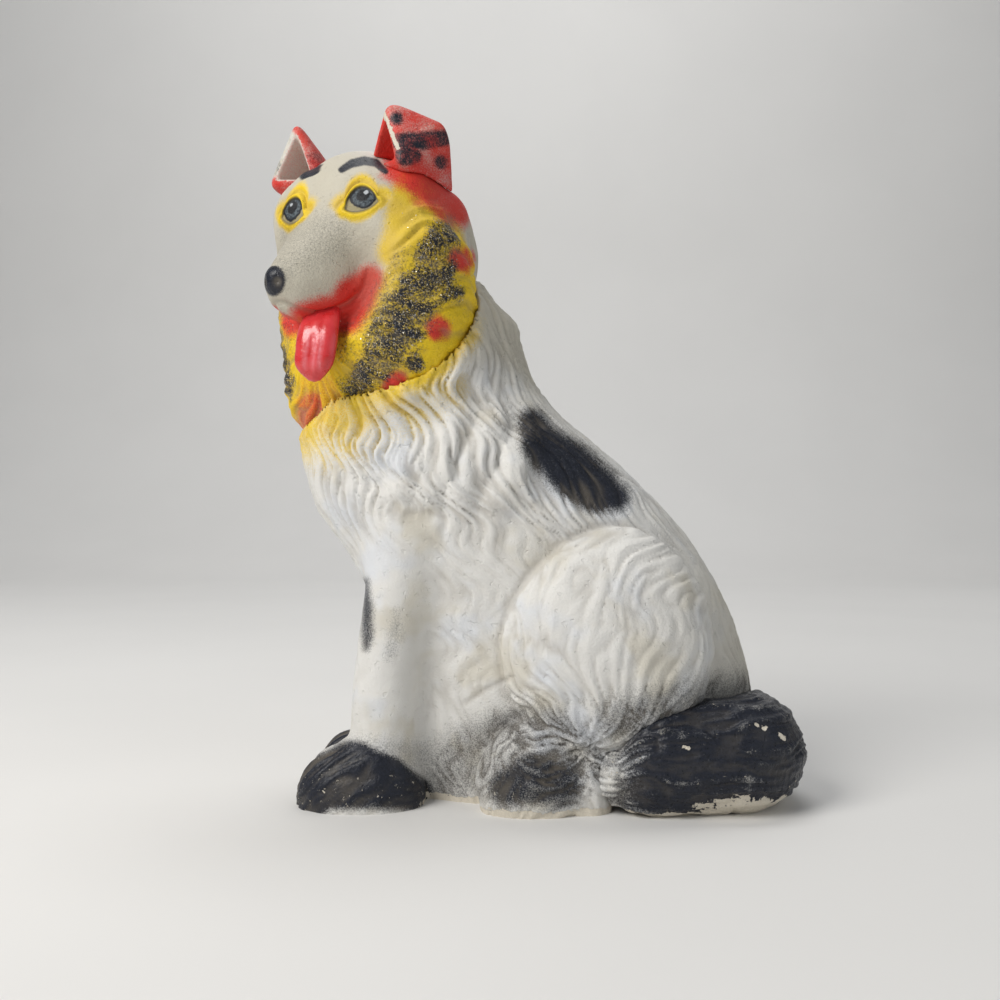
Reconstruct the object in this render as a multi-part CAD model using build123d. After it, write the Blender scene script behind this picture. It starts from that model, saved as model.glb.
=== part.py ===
"""Seated long-haired dog: a hollow plaster figure, cast in pieces and bonded with plaster slip.

The dog faces -X and sits on Z = 0. Its left side, the side it is shown from, faces -Y.
The body is two half shells that meet on the plane Y = 0. The head is a casting of its own
that sits down over the neck, and the ears, the tongue and the tail are small solid castings.
"""

import os
from math import cos, pi, radians, sin, sqrt

from build123d import *

# Casting sizes, in millimetres
WALL = 9.0  # plaster wall of the half shells and the head
SLIP_GAP = 0.3  # slip-filled gap where one casting sits in another
BEAD_WIDTH = 14.0  # plaster bead run inside over the seam of the two half shells
BEAD_THICKNESS = 3.0
BEAD_FOOT = 6.0  # heights where the beads start and end
BEAD_TOP = 212.0
NECK_BOND = 1.5  # plaster ring between the neck's rim and the head's seat

# Trunk: level oval rings from the foot to the neck's rim, as height, middle X, half length, half width
FOOT_RING = (0.0, 20.0, 76.0, 32.0)
HIP_RING = (38.0, 18.5, 80.5, 35.0)
LOIN_RING = (72.0, 13.5, 77.5, 37.0)
BELLY_RING = (100.0, 0.5, 76.5, 39.0)
CHEST_RING = (125.0, -17.5, 74.5, 40.0)
BREAST_RING = (148.0, -32.5, 64.5, 38.0)
SHOULDER_RING = (170.0, -42.0, 50.0, 35.0)
NECK_RING = (195.0, -47.0, 42.0, 31.0)
RIM_RING = (222.0, -53.0, 31.0, 25.0)
TRUNK_RINGS = [
    FOOT_RING,
    HIP_RING,
    LOIN_RING,
    BELLY_RING,
    CHEST_RING,
    BREAST_RING,
    SHOULDER_RING,
    NECK_RING,
    RIM_RING,
]

# Limbs of the left side, as centre and half sizes; the right side mirrors them
HAUNCH_CENTRE = (32.0, -30.0, 66.0)
HAUNCH_HALF = (44.0, 24.0, 50.0)
HIND_FOOT_CENTRE = (1.5, -37.0, 10.0)
HIND_FOOT_HALF = (22.5, 13.0, 27.0)
PAW_CENTRE = (-70.0, -27.0, 3.0)
PAW_HALF = (26.0, 17.0, 23.0)
# Foreleg: height, middle X, middle Y, radius
FORELEG_RINGS = [
    (6.0, -60.0, -25.0, 13.5),
    (45.0, -59.5, -24.0, 13.5),
    (88.0, -53.5, -23.0, 14.5),
    (125.0, -50.0, -18.0, 17.0),
]
# Hock: the heel between the hind foot and the tail, as height, middle X, middle Y, radius
HOCK_RINGS = [
    (-2.0, 24.0, -36.0, 9.5),
    (14.0, 25.0, -36.0, 9.0),
    (32.0, 27.0, -36.0, 6.0),
]
# Mane: waved locks down the left flank, as X and height; the right side mirrors them
MANE_LOCKS = [
    [(-48.0, 152.0), (-47.0, 142.0), (-50.0, 130.0), (-52.0, 116.0)],
    [(-32.0, 172.0), (-29.0, 158.0), (-34.0, 144.0), (-40.0, 128.0), (-41.0, 108.0)],
    [(-17.0, 172.0), (-14.0, 158.0), (-20.0, 144.0), (-27.0, 128.0), (-27.0, 106.0)],
    [(-2.0, 162.0), (-1.0, 150.0), (-6.0, 138.0), (-13.0, 124.0), (-14.0, 104.0)],
]
LOCK_RADIUS = 7.0  # at the middle of a lock
LOCK_TIP = 2.5  # radius of its ends
LOCK_SINK = 4.0  # how deep its middle line lies in the flank

# Head: place of its middle, its turn to the left, its nod and its tilt to the left, in degrees
HEAD_PLACE = (-67.0, -7.0, 247.0)
HEAD_TURN = 50.0
HEAD_NOD = 17.0
HEAD_TILT = 4.0
# Skull, cheeks and nose, in the head's own axes, X forward, Y to its left, Z up: centre and radius
SKULL_CENTRE = (0.0, -5.0, -2.0)
SKULL_RADIUS = 31.5
CHEEK_CENTRE = (14.5, 15.5, 0.0)  # left cheek and brow; the right one mirrors it
CHEEK_RADIUS = 17.0
NOSE_CENTRE = (56.0, 0.0, -18.0)
NOSE_RADIUS = 6.5
# Muzzle: upright ovals from the skull to the nose, as forward, left, up, half width, half height
MUZZLE_RINGS = [
    (8.0, 0.0, -8.0, 26.0, 24.0),
    (27.0, 0.0, -10.0, 21.5, 22.5),
    (45.0, 0.0, -17.0, 15.0, 14.5),
    (57.0, 0.0, -19.5, 9.5, 9.0),
]
# Lower jaw and lip, as centre and half sizes
JAW_CENTRE = (31.0, 0.0, -25.5)
JAW_HALF = (24.0, 18.0, 13.0)
# Ruff: the collar of long hair round the face, upright, in the head's turn
RUFF_PLACE = (-65.6, -9.0, 209.0)
RUFF_HALF = (34.0, 49.5, 53.0)
# Bowl in the front of the ruff round the muzzle, in the ruff's axes
BOWL_CENTRE = (50.0, 0.0, 12.0)
BOWL_HALF = (36.0, 44.0, 36.0)
EGG_STEPS = [-0.98, -0.85, -0.6, -0.25, 0.15, 0.5, 0.8, 0.98]  # where an egg's rings lie, back to front
# Nape: the hair that falls from the skull over the back of the neck
NAPE_CENTRE = (-49.0, 0.0, 232.0)
NAPE_RADIUS = 31.0
# Passage from the hollow of the skull down to the neck
PASSAGE_CENTRE = (-60.0, -4.0, 236.0)
PASSAGE_RADIUS = 12.0

# Left ear: a folded flap with an open front, as its front and back triangles, in the head's axes
# from the place where its peg enters the skull
EAR_FRONT = [(7.5, 3.5, 31.0), (12.0, -11.0, 1.5), (19.0, 16.5, 5.0)]
EAR_BACK = [(-8.0, 20.5, 18.0), (-9.0, -11.0, -9.5), (-8.0, 17.0, -10.5)]
EAR_SHIFT = -4.5  # both ears stand this much to the right of the skull's middle
EAR_OPENING = 0.68  # size of the open front against the whole front
EAR_SCOOP = 0.55  # how far back the open front runs towards the back triangle
EAR_PEG_UP = 17.0  # place of the peg above and behind the skull's middle
EAR_PEG_BACK = 9.0
EAR_PEG_RADIUS = 4.0
EAR_PEG_DEPTH = 6.0  # length of the peg inside the skull, and as much in the ear
PEG_PLAY = 0.2

# Tongue: hangs from the left lip, as height, middle X, middle Y, half width, half thickness
TONGUE_RINGS = [
    (212.0, -83.0, -38.0, 6.5, 3.5),
    (203.0, -84.0, -43.5, 8.0, 4.5),
    (187.0, -85.0, -45.0, 8.5, 4.5),
    (176.0, -86.0, -43.5, 6.5, 3.5),
    (171.5, -86.0, -42.0, 2.5, 1.5),
]
TONGUE_FACING = 15.0  # turn of the tongue's face from -Y towards -X, in degrees

# Tail: brush lying round the rump to the left flank, as X, Y, height of its middle,
# heading in degrees, half width, half height
TAIL_RINGS = [
    (84.0, 18.0, 20.0, -60.0, 10.0, 17.0),
    (95.5, -4.0, 21.0, -80.0, 18.0, 22.0),
    (90.0, -28.0, 21.5, -130.0, 23.0, 23.0),
    (66.0, -37.0, 21.0, -172.0, 19.0, 22.5),
    (45.0, -42.0, 20.0, -180.0, 13.0, 20.0),
    (30.0, -43.0, 15.0, -180.0, 5.5, 9.5),
]

BIG = 800.0  # side of the blocks that cut the forms at a plane


def ellipsoid(half):
    return scale(Sphere(1.0), by=half)


def below_ground():
    return Pos(0, 0, -BIG / 2) * Box(BIG, BIG, BIG)


def left_of_seam():
    """Block on the dog's left of the seam plane Y = 0."""
    return Pos(0, -BIG / 2, 0) * Box(BIG, BIG, BIG)


def to_right(form):
    """The same form on the dog's right."""
    return mirror(form, about=Plane.XZ)


def level_rings(rings, grow):
    """Form through level ovals, each grown outwards by the same amount."""
    ovals = []
    for z, x, half_length, half_width in rings:
        level = Plane((x, 0, z), x_dir=(0, 1, 0), z_dir=(0, 0, 1))
        ovals.append(level * Ellipse(half_width + grow, half_length + grow))
    return loft(ovals)


def upright_rings(rings):
    """Form through upright ovals set one in front of the other."""
    ovals = []
    for x, y, z, half_width, half_height in rings:
        upright = Plane((x, y, z), x_dir=(0, 1, 0), z_dir=(1, 0, 0))
        ovals.append(upright * Ellipse(half_width, half_height))
    return loft(ovals)


def trunk(grow):
    return level_rings(TRUNK_RINGS, grow)


def level_discs(rings):
    """Round form that runs upwards through level circles."""
    return loft([Plane((x, y, z)) * Circle(r) for z, x, y, r in rings])


def flank(x, z):
    """Half width of the trunk at a place on the seam plane."""
    for low, high in zip(TRUNK_RINGS, TRUNK_RINGS[1:]):
        if low[0] <= z <= high[0]:
            share = (z - low[0]) / (high[0] - low[0])
            middle, half_length, half_width = part_way(low[1:], high[1:], share)
            return half_width * sqrt(1 - ((x - middle) / half_length) ** 2)


def mane_lock(path):
    """Lock that lies half sunk in the left flank, thickest at its middle."""
    rings = []
    for i, (x, z) in enumerate(path):
        share = i / (len(path) - 1)
        radius = LOCK_TIP + (LOCK_RADIUS - LOCK_TIP) * sqrt(sin(pi * share))
        rings.append((z, x, LOCK_SINK - flank(x, z), radius))
    return level_discs(rings)


def left_outside():
    """Outside of the left half of the body, down to the foot."""
    form = trunk(0.0) & left_of_seam()
    form += Pos(*HAUNCH_CENTRE) * ellipsoid(HAUNCH_HALF)
    form += level_discs(FORELEG_RINGS)
    form += level_discs(HOCK_RINGS)
    for path in MANE_LOCKS:
        form += mane_lock(path)
    form += Pos(*PAW_CENTRE) * ellipsoid(PAW_HALF)
    form += Pos(*HIND_FOOT_CENTRE) * ellipsoid(HIND_FOOT_HALF)
    return form - below_ground()


def seam_beads():
    """Strips of plaster inside the shells, over the seam down the front and down the back."""
    reach = BEAD_TOP - BEAD_FOOT
    slot = Pos(0, 0, BEAD_FOOT + reach / 2) * Box(BIG, BEAD_WIDTH, reach)
    strip = (trunk(-WALL) & slot) - trunk(-WALL - BEAD_THICKNESS)
    return sorted(strip.solids(), key=lambda bead: bead.center().X)


def rim_plate(grow, thickness):
    """Oval plate on the neck's rim."""
    z, x, a, b = RIM_RING
    return extrude(Plane((x, 0, z)) * Ellipse(a + grow, b + grow), thickness)


def neck_bond():
    return rim_plate(0.0, NECK_BOND) - rim_plate(-WALL, NECK_BOND)


def head_axes():
    turn, nod = radians(HEAD_TURN), radians(HEAD_NOD)
    forward = (-cos(turn) * cos(nod), -sin(turn) * cos(nod), -sin(nod))
    upward = (-cos(turn) * sin(nod), -sin(turn) * sin(nod), cos(nod))
    return Plane(HEAD_PLACE, x_dir=forward, z_dir=upward) * Rot(-HEAD_TILT, 0, 0)


def ruff_axes():
    turn = radians(HEAD_TURN)
    return Plane(RUFF_PLACE, x_dir=(-cos(turn), -sin(turn), 0), z_dir=(0, 0, 1))


def egg(half):
    """Egg shape through upright ovals, from its half length, half width and half height."""
    forward, wide, high = half
    rings = []
    for step in EGG_STEPS:
        share = sqrt(1 - step**2)
        rings.append((step * forward, 0, 0, wide * share, high * share))
    return upright_rings(rings)


def ruff():
    """Egg-shaped collar with a bowl round the muzzle."""
    return ruff_axes() * (egg(RUFF_HALF) - Pos(*BOWL_CENTRE) * egg(BOWL_HALF))


def head_outside():
    face = Pos(*SKULL_CENTRE) * Sphere(SKULL_RADIUS) + upright_rings(MUZZLE_RINGS)
    x, y, z = CHEEK_CENTRE
    for flip in (1, -1):
        face += Pos(x, y * flip, z) * Sphere(CHEEK_RADIUS)
    face += Pos(*NOSE_CENTRE) * Rot(0, 90, 0) * Sphere(NOSE_RADIUS)
    face += Pos(*JAW_CENTRE) * egg(JAW_HALF)
    return head_axes() * face + ruff() + Pos(*NAPE_CENTRE) * Sphere(NAPE_RADIUS)


def head_hollow():
    """Hollow of the skull, with the passage that joins it to the neck."""
    skull = head_axes() * Pos(*SKULL_CENTRE) * Sphere(SKULL_RADIUS - WALL)
    rim = RIM_RING[0]
    x, y, top = PASSAGE_CENTRE
    return skull + Pos(x, y, (rim + top) / 2) * Cylinder(PASSAGE_RADIUS, top - rim)


def wedge(front, back):
    """Solid between two triangles, with flat facets all round."""
    facets = [front, back]
    for here, there in ((0, 1), (1, 2), (2, 0)):
        facets.append([front[here], front[there], back[there]])
        facets.append([front[here], back[there], back[here]])
    return Solid(Shell([Face(Wire.make_polygon(facet)) for facet in facets]))


def part_way(start, end, share):
    return tuple(a + (b - a) * share for a, b in zip(start, end))


def shrunk(points, share):
    """Triangle drawn in towards its middle."""
    middle = tuple(sum(axis) / len(points) for axis in zip(*points))
    return [part_way(middle, point, share) for point in points]


def ear_seat(flip):
    """Where an ear's peg enters the skull, in the head's axes; flip is -1 for the right ear."""
    x, y, z = SKULL_CENTRE
    side = sqrt(SKULL_RADIUS**2 - EAR_PEG_UP**2 - EAR_PEG_BACK**2)
    return (x - EAR_PEG_BACK, y + flip * side, z + EAR_PEG_UP)


def ear_triangle(points, flip):
    """Corners of one of an ear's triangles, set from the ear's seat."""
    x, y, z = ear_seat(flip)
    return [(x + out, y + across * flip + EAR_SHIFT, z + up) for out, across, up in points]


def ear_form(flip):
    """Folded ear flap with its open front."""
    front = ear_triangle(EAR_FRONT, flip)
    back = ear_triangle(EAR_BACK, flip)
    inner = shrunk([part_way(a, b, EAR_SCOOP) for a, b in zip(front, back)], EAR_OPENING / 2)
    mouth = shrunk([part_way(b, a, 1.02) for a, b in zip(front, back)], EAR_OPENING)
    return wedge(front, back) - wedge(mouth, inner)


def ear_peg(flip, play):
    """Peg across the skull's side, half in the ear and half in the skull."""
    x, y, z = ear_seat(flip)
    aim = Plane((x, y + flip * EAR_PEG_DEPTH, z), x_dir=(1, 0, 0), z_dir=(0, -flip, 0))
    return extrude(aim * Circle(EAR_PEG_RADIUS + play), 2 * EAR_PEG_DEPTH + play)


def ear(flip, skin):
    return (head_axes() * ear_form(flip) - skin) + head_axes() * ear_peg(flip, 0.0)


def tongue():
    turn = Rot(0, 0, -TONGUE_FACING)
    return loft([Pos(x, y, z) * turn * Ellipse(w, t) for z, x, y, w, t in TONGUE_RINGS])


def head(skin, tongue_form):
    form = skin - trunk(SLIP_GAP) - rim_plate(SLIP_GAP, NECK_BOND) - head_hollow() - tongue_form
    for flip in (1, -1):
        form -= head_axes() * ear_peg(flip, PEG_PLAY)
    return form


def tail_form():
    rings = []
    for x, y, z, heading, half_width, half_height in TAIL_RINGS:
        along = (cos(radians(heading)), sin(radians(heading)), 0)
        across = (along[1], -along[0], 0)
        rings.append(Plane((x, y, z), x_dir=across, z_dir=along) * Ellipse(half_width, half_height))
    return loft(rings) - below_ground()


def figure():
    """Every casting of the figure by its name."""
    left = left_outside()
    hollow = trunk(-WALL)
    skin = head_outside()
    lick = tongue()
    front_bead, back_bead = seam_beads()
    return {
        "body_left_half": left - hollow,
        "body_right_half": to_right(left) - hollow,
        "seam_bead_front": front_bead,
        "seam_bead_back": back_bead,
        "neck_bond": neck_bond(),
        "head": head(skin, lick),
        "left_ear": ear(1, skin),
        "right_ear": ear(-1, skin),
        "tongue": lick,
        "tail": tail_form() - left - to_right(left),
    }


def main():
    """Stand the figure with the middle of its outline box over the origin, and write each casting."""
    os.makedirs("parts", exist_ok=True)
    pieces = figure()
    box = Compound(children=[Compound(form.solids()) for form in pieces.values()]).bounding_box()
    place = Pos(-box.center().X, -box.center().Y, -box.min.Z)
    for name, form in pieces.items():
        export_step(place * form, f"parts/{name}.step")


if __name__ == "__main__":
    main()
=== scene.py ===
"""Painted plaster figure of a seated long-haired dog: the looks of each casting, and its stage.

Lengths in the sculpting code are millimetres in the figure's own axes: the dog faces -X, its
left side faces -Y, and the seam of the two half shells is the plane Y = 0.
"""

from itertools import combinations
from math import cos, pi, radians, sin, sqrt

import bmesh
import bpy
import numpy as np
from bpy.props import FloatProperty, FloatVectorProperty, PointerProperty
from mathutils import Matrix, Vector


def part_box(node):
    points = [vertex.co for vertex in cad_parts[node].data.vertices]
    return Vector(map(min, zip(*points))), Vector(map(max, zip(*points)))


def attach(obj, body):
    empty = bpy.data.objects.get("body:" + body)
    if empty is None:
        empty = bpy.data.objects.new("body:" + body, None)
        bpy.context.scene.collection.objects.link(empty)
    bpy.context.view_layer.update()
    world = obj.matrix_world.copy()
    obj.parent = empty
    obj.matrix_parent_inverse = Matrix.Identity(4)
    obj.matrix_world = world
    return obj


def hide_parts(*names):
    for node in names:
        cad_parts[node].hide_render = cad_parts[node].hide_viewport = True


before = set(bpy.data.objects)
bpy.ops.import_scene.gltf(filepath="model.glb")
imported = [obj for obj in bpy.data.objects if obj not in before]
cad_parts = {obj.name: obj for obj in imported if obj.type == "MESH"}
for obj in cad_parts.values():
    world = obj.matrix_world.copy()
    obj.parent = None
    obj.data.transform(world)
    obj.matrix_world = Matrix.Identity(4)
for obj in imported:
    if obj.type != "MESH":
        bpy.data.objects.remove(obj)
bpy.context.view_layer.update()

bl_info = {
    "name": "Painted plaster dog",
    "version": (1, 0, 0),
    "blender": (4, 5, 0),
    "location": "View3D > Sidebar > Figure",
    "description": "Sculpts and paints the castings of a seated plaster dog on its packed frame",
    "category": "Object",
}

MM = 0.001

# Castings, in millimetres
WALL = 9.0
SLIP_GAP = 0.3
NECK_BOND = 1.5
NECK_RIM = 222.0
NECK_MIDDLE = -53.0

# Trunk: level ovals as height, middle X, half length, half width
TRUNK = [
    (-12.0, 20.5, 74.0, 31.0),
    (0.0, 20.0, 76.0, 32.0),
    (38.0, 18.5, 80.5, 35.0),
    (72.0, 13.5, 77.5, 37.0),
    (100.0, 0.5, 76.5, 39.0),
    (125.0, -17.5, 74.5, 40.0),
    (148.0, -32.5, 64.5, 38.0),
    (170.0, -42.0, 50.0, 35.0),
    (195.0, -47.0, 42.0, 31.0),
    (222.0, NECK_MIDDLE, 31.0, 25.0),
    (234.0, -55.5, 26.0, 22.0),
]
HAUNCH_CENTRE = (32.0, -30.0, 66.0)
HAUNCH_HALF = (44.0, 24.0, 50.0)
HIND_FOOT_CENTRE = (1.5, -37.0, 10.0)
HIND_FOOT_HALF = (22.5, 13.0, 27.0)
FOOT_SWIRL_CENTRE = (14.5, -37.0, -6.0)  # round which the hair of the hind foot curls
PAW_CENTRE = (-70.0, -27.0, 3.0)
PAW_HALF = (26.0, 17.0, 23.0)
FAR_PAW_DROP = 5.0  # the right front paw is cast this much flatter
# Foreleg: height, middle X, middle Y, radius
FORELEG = [
    (-10.0, -60.0, -25.0, 13.5),
    (6.0, -60.0, -25.0, 13.5),
    (45.0, -59.5, -24.0, 13.5),
    (88.0, -53.5, -23.0, 14.5),
    (125.0, -50.0, -18.0, 17.0),
]
# Hock between the hind foot and the tail: height, middle X, middle Y, radius
HOCK = [
    (-10.0, 24.0, -36.0, 9.5),
    (14.0, 25.0, -36.0, 9.0),
    (32.0, 27.0, -36.0, 6.0),
]
# Mane: waved locks down the left flank, as X and height
MANE_LOCKS = [
    [(-48.0, 152.0), (-47.0, 142.0), (-50.0, 130.0), (-52.0, 116.0)],
    [(-32.0, 172.0), (-29.0, 158.0), (-34.0, 144.0), (-40.0, 128.0), (-41.0, 108.0)],
    [(-17.0, 172.0), (-14.0, 158.0), (-20.0, 144.0), (-27.0, 128.0), (-27.0, 106.0)],
    [(-2.0, 162.0), (-1.0, 150.0), (-6.0, 138.0), (-13.0, 124.0), (-14.0, 104.0)],
]
LOCK_RADIUS = 7.0
LOCK_TIP = 2.5
LOCK_SINK = 4.0
MANE_REACH = 50.0  # gap given to points that are far from the mane
MANE_MIDDLE = 139.0
MANE_SPAN = 48.0
MANE_SIDE = -12.0
LOCK_MEETING = (24.0, 30.0)  # X and Z where the locks of the haunch run together
HAUNCH_LOCK_SPACING = 4.7
HAUNCH_CREASE_DEPTH = 1.3
HAUNCH_CREASE_WIDTH = 1.6
BELLY_CRACK_DEPTH = 0.7
TOE_GROOVES = (-6.5, 0.0, 6.5)  # across the paw
TOE_DEPTH = 1.7
PAW_HAIR_DEPTH = 1.5
FOOT_HAIR_DEPTH = 1.9
NECK_FLOOR = 130.0  # height above which the neck's hair is added

# Head axes: X forward, Y to its left, Z up
HEAD_PLACE = np.array([-67.0, -7.0, 247.0])
HEAD_TURN = radians(50.0)
HEAD_NOD = radians(17.0)
HEAD_TILT = radians(4.0)
SKULL_CENTRE = (0.0, -5.0, -2.0)
SKULL_RADIUS = 31.5
CHEEK_CENTRE = (14.5, 15.5, 0.0)
CHEEK_RADIUS = 17.0
RIGHT_BROW_CENTRE = (16.5, -18.0, 3.0)  # the right brow and cheek are fuller than the left ones
RIGHT_BROW_RADIUS = 17.0
NOSE_CENTRE = (56.0, 0.0, -18.0)
NOSE_RADIUS = 6.5
# Muzzle: forward, middle height, half width, half height
MUZZLE = [
    (4.0, -6.0, 26.5, 26.0),
    (16.0, -7.5, 25.0, 25.5),
    (27.0, -10.0, 21.5, 22.5),
    (36.0, -13.5, 18.5, 18.5),
    (45.0, -17.0, 15.0, 14.5),
    (57.0, -19.5, 9.5, 9.0),
    (62.0, -19.5, 8.0, 7.5),
]
MUZZLE_END = 60.5
JAW_CENTRE = (31.0, 0.0, -25.5)
JAW_HALF = (24.0, 18.0, 13.0)
# Eyes on the face; in an eye's own axes its corners, and the rise and drop of its lids
LEFT_EYE = (26.5, 23.2, 9.7)
RIGHT_EYE = (33.5, -11.9, 9.0)
EYE_INNER = (-7.6, -3.4)
EYE_OUTER = (6.2, -2.6)
EYE_LID_RISE = 7.9
EYE_LID_DROP = 2.9
# Lines on the left half of the face, in the head's axes
LIP_LINE = [
    (27.8, 22.2, -19.5),
    (30.9, 20.1, -25.4),
    (37.8, 16.8, -29.8),
    (42.8, 13.9, -31.7),
    (48.9, 9.6, -32.2),
    (54.9, 6.8, -29.4),
    (58.9, 3.8, -26.4),
    (60.0, 0.0, -25.5),
]
BROW_LINE = [(25.0, 9.0, 17.0), (20.0, 15.0, 21.0), (13.0, 22.0, 20.5)]
NOSTRIL = (60.8, 3.4, -17.5)
NOSE_PAD_CENTRE = (60.5, 0.0, -17.0)
NOSE_PAD_HALF = (5.0, 6.0, 5.5)
RUFF_PLACE = np.array([-65.6, -9.0, 209.0])
RUFF_HALF = (34.0, 49.5, 53.0)
RUFF_BOWL_CENTRE = (50.0, 0.0, 12.0)  # hollow of the ruff round the muzzle and the jaw
RUFF_BOWL_HALF = (36.0, 44.0, 36.0)
FAR_HEM_CENTRE = (6.0, -18.0, -32.0)  # the ruff's lower right corner, in its axes
FAR_HEM_HALF = (20.0, 24.0, 26.0)
JOWL_CENTRE = (8.0, 31.0, 18.0)  # swell between the left cheek and the ruff, in the ruff's axes
JOWL_RADIUS = 13.0
NAPE_CENTRE = (-50.5, 0.0, 231.0)
NAPE_RADIUS = 29.5
MANTLE_CENTRE = (-46.0, 0.0, 182.0)  # hair of the neck behind the ruff
MANTLE_HALF = (42.0, 39.0, 44.0)
HEM_FILL = 2.5  # how far the body's hair climbs up the step under the ruff
TUFT_CENTRE = (-21.0, 0.0, 199.5)  # tuft at the back of the neck
TUFT_HALF = (17.0, 20.0, 10.0)
EAR_ROOT = [(1.0, 24.0, 9.0), (-16.0, 26.0, -2.0)]  # swell of hair under the lower edge of an ear
EAR_ROOT_RADIUS = 10.5

# Ears, from their seat on the skull: front and back triangles of the left one
EAR_SEAT_UP = 17.0
EAR_SEAT_BACK = 9.0
EAR_SHIFT = -4.5
EAR_FRONT = [(7.5, 3.5, 31.0), (12.0, -11.0, 1.5), (19.0, 16.5, 5.0)]
EAR_BACK = [(-8.0, 20.5, 18.0), (-9.0, -11.0, -9.5), (-8.0, 17.0, -10.5)]
EAR_OPENING = 0.68
EAR_SCOOP = 0.55

# Tongue: height, middle X, middle Y, half width, half thickness
TONGUE = [
    (174.0, -86.0, -41.5, 2.5, 1.5),
    (178.0, -86.0, -43.0, 6.8, 3.2),
    (187.0, -85.0, -43.5, 8.8, 4.0),
    (195.0, -84.3, -41.5, 8.6, 4.2),
    (202.0, -83.5, -36.5, 7.6, 4.0),
    (209.0, -83.0, -30.0, 6.5, 3.5),
]
TONGUE_FACING = radians(15.0)
TONGUE_HIGHLIGHT_LINES = (-2.6, 0.9, 3.6)  # painted highlights, as pale streaks across its face

# Tail: X, Y, middle height, half width, half height
TAIL = [
    (84.0, 18.0, 20.0, 10.0, 17.0),
    (95.5, -4.0, 21.0, 18.0, 22.0),
    (90.0, -28.0, 21.5, 23.0, 23.0),
    (66.0, -37.0, 21.0, 19.0, 22.5),
    (47.0, -42.0, 20.0, 13.5, 20.0),
    (35.5, -43.0, 15.5, 7.5, 11.5),
]

EYE_POINT = np.array([-11.5, -480.0, 126.0])  # where the picture is taken from

# Boxes that hold each skin with its hair
BODY_BOX = ((-104.0, -60.0, -4.0), (106.0, 60.0, 228.0))
HEAD_BOX = ((-122.0, -62.0, 146.0), (-10.0, 46.0, 282.0))
TAIL_BOX = ((20.0, -62.0, -3.0), (122.0, 34.0, 48.0))
EAR_ROOM = 3.0


def figure_shift():
    """Where the figure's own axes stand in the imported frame, in millimetres."""
    low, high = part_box("neck_bond")
    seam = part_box("body_left_half")[1][1]
    return np.array([(low[0] + high[0]) / 2 / MM - NECK_MIDDLE, seam / MM, 0.0])


SHIFT = figure_shift()


class FigureSculpt(bpy.types.PropertyGroup):
    """Sizes of the sculpted skin."""

    body_step: FloatProperty(
        name="Body skin step",
        description="Spacing of the points on the skin of the body",
        default=1.0 * MM,
        unit="LENGTH",
    )
    head_step: FloatProperty(
        name="Head skin step",
        description="Spacing of the points on the skin of the head",
        default=0.75 * MM,
        unit="LENGTH",
    )
    small_step: FloatProperty(
        name="Small skin step",
        description="Spacing of the points on the ears and the tail",
        default=0.6 * MM,
        unit="LENGTH",
    )
    lock_spacing: FloatProperty(
        name="Lock spacing",
        description="Distance from one lock of hair to the next on the trunk",
        default=4.6 * MM,
        unit="LENGTH",
    )
    lock_depth: FloatProperty(
        name="Lock depth",
        description="Height of a lock of hair on the chest above the valley beside it",
        default=3.9 * MM,
        unit="LENGTH",
    )
    wave_length: FloatProperty(
        name="Wave length",
        description="Length of one wave along the locks",
        default=30.0 * MM,
        unit="LENGTH",
    )
    wave_swing: FloatProperty(
        name="Wave swing",
        description="How far the locks swing to each side",
        default=3.4 * MM,
        unit="LENGTH",
    )
    glitter_density: FloatProperty(
        name="Glitter density",
        description="Flakes on a square metre of the ruff's black paint",
        default=260000.0,
    )
    flake_size: FloatProperty(
        name="Flake size",
        description="Radius of the largest flakes of glitter",
        default=0.34 * MM,
        unit="LENGTH",
    )


# Numbers and fields


def ease(value, start, end):
    """Smooth step from 0 at start to 1 at end."""
    share = np.clip((value - start) / (end - start), 0.0, 1.0)
    return share * share * (3.0 - 2.0 * share)


def noise(points, seed):
    """Smooth random value from about -1 to 1 at each point, about one bump per unit."""
    base = np.floor(points).astype(np.int64)
    part = points - base
    ramp = part**3 * (part * (part * 6.0 - 15.0) + 10.0)
    total = np.zeros(len(points))
    for corner in np.ndindex(2, 2, 2):
        cell = base + corner
        mixed = (cell[:, 0] * 73856093) ^ (cell[:, 1] * 19349663) ^ (cell[:, 2] * 83492791)
        mixed = (mixed ^ (seed * 2654435761)) & 0x7FFFFFFF
        mixed = ((mixed ^ (mixed >> 13)) * 1274126177) & 0x7FFFFFFF
        mixed = mixed ^ (mixed >> 15)
        bits = np.stack([mixed & 1023, (mixed >> 10) & 1023, (mixed >> 20) & 1023], 1)
        slope = bits / 511.5 - 1.0
        weight = np.prod(np.where(corner, ramp, 1.0 - ramp), axis=1)
        total += weight * np.sum(slope * (part - corner), axis=1)
    return total * 1.6


def through(at, rings):
    """Values of a list of rings, keyed by their first number, on a smooth curve through them."""
    rings = np.array(rings, float)
    keys, values = rings[:, 0], rings[:, 1:]
    slopes = np.gradient(values, keys, axis=0)
    at = np.clip(at, keys[0], keys[-1])
    first = np.clip(np.searchsorted(keys, at) - 1, 0, len(keys) - 2)
    width = (keys[first + 1] - keys[first])[:, None]
    s = (at - keys[first])[:, None] / width
    start = values[first] * (2 * s**3 - 3 * s**2 + 1) + slopes[first] * width * (s**3 - 2 * s**2 + s)
    end = values[first + 1] * (3 * s**2 - 2 * s**3) + slopes[first + 1] * width * (s**3 - s**2)
    return (start + end).T


def oval(offset, half):
    """Signed distance to an oval, flat or solid, from offsets to its middle."""
    near = np.sqrt(sum((o / h) ** 2 for o, h in zip(offset, half)))
    slope = np.sqrt(sum((o / h**2) ** 2 for o, h in zip(offset, half)))
    return near * (near - 1.0) / np.maximum(slope, 1e-6)


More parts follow.
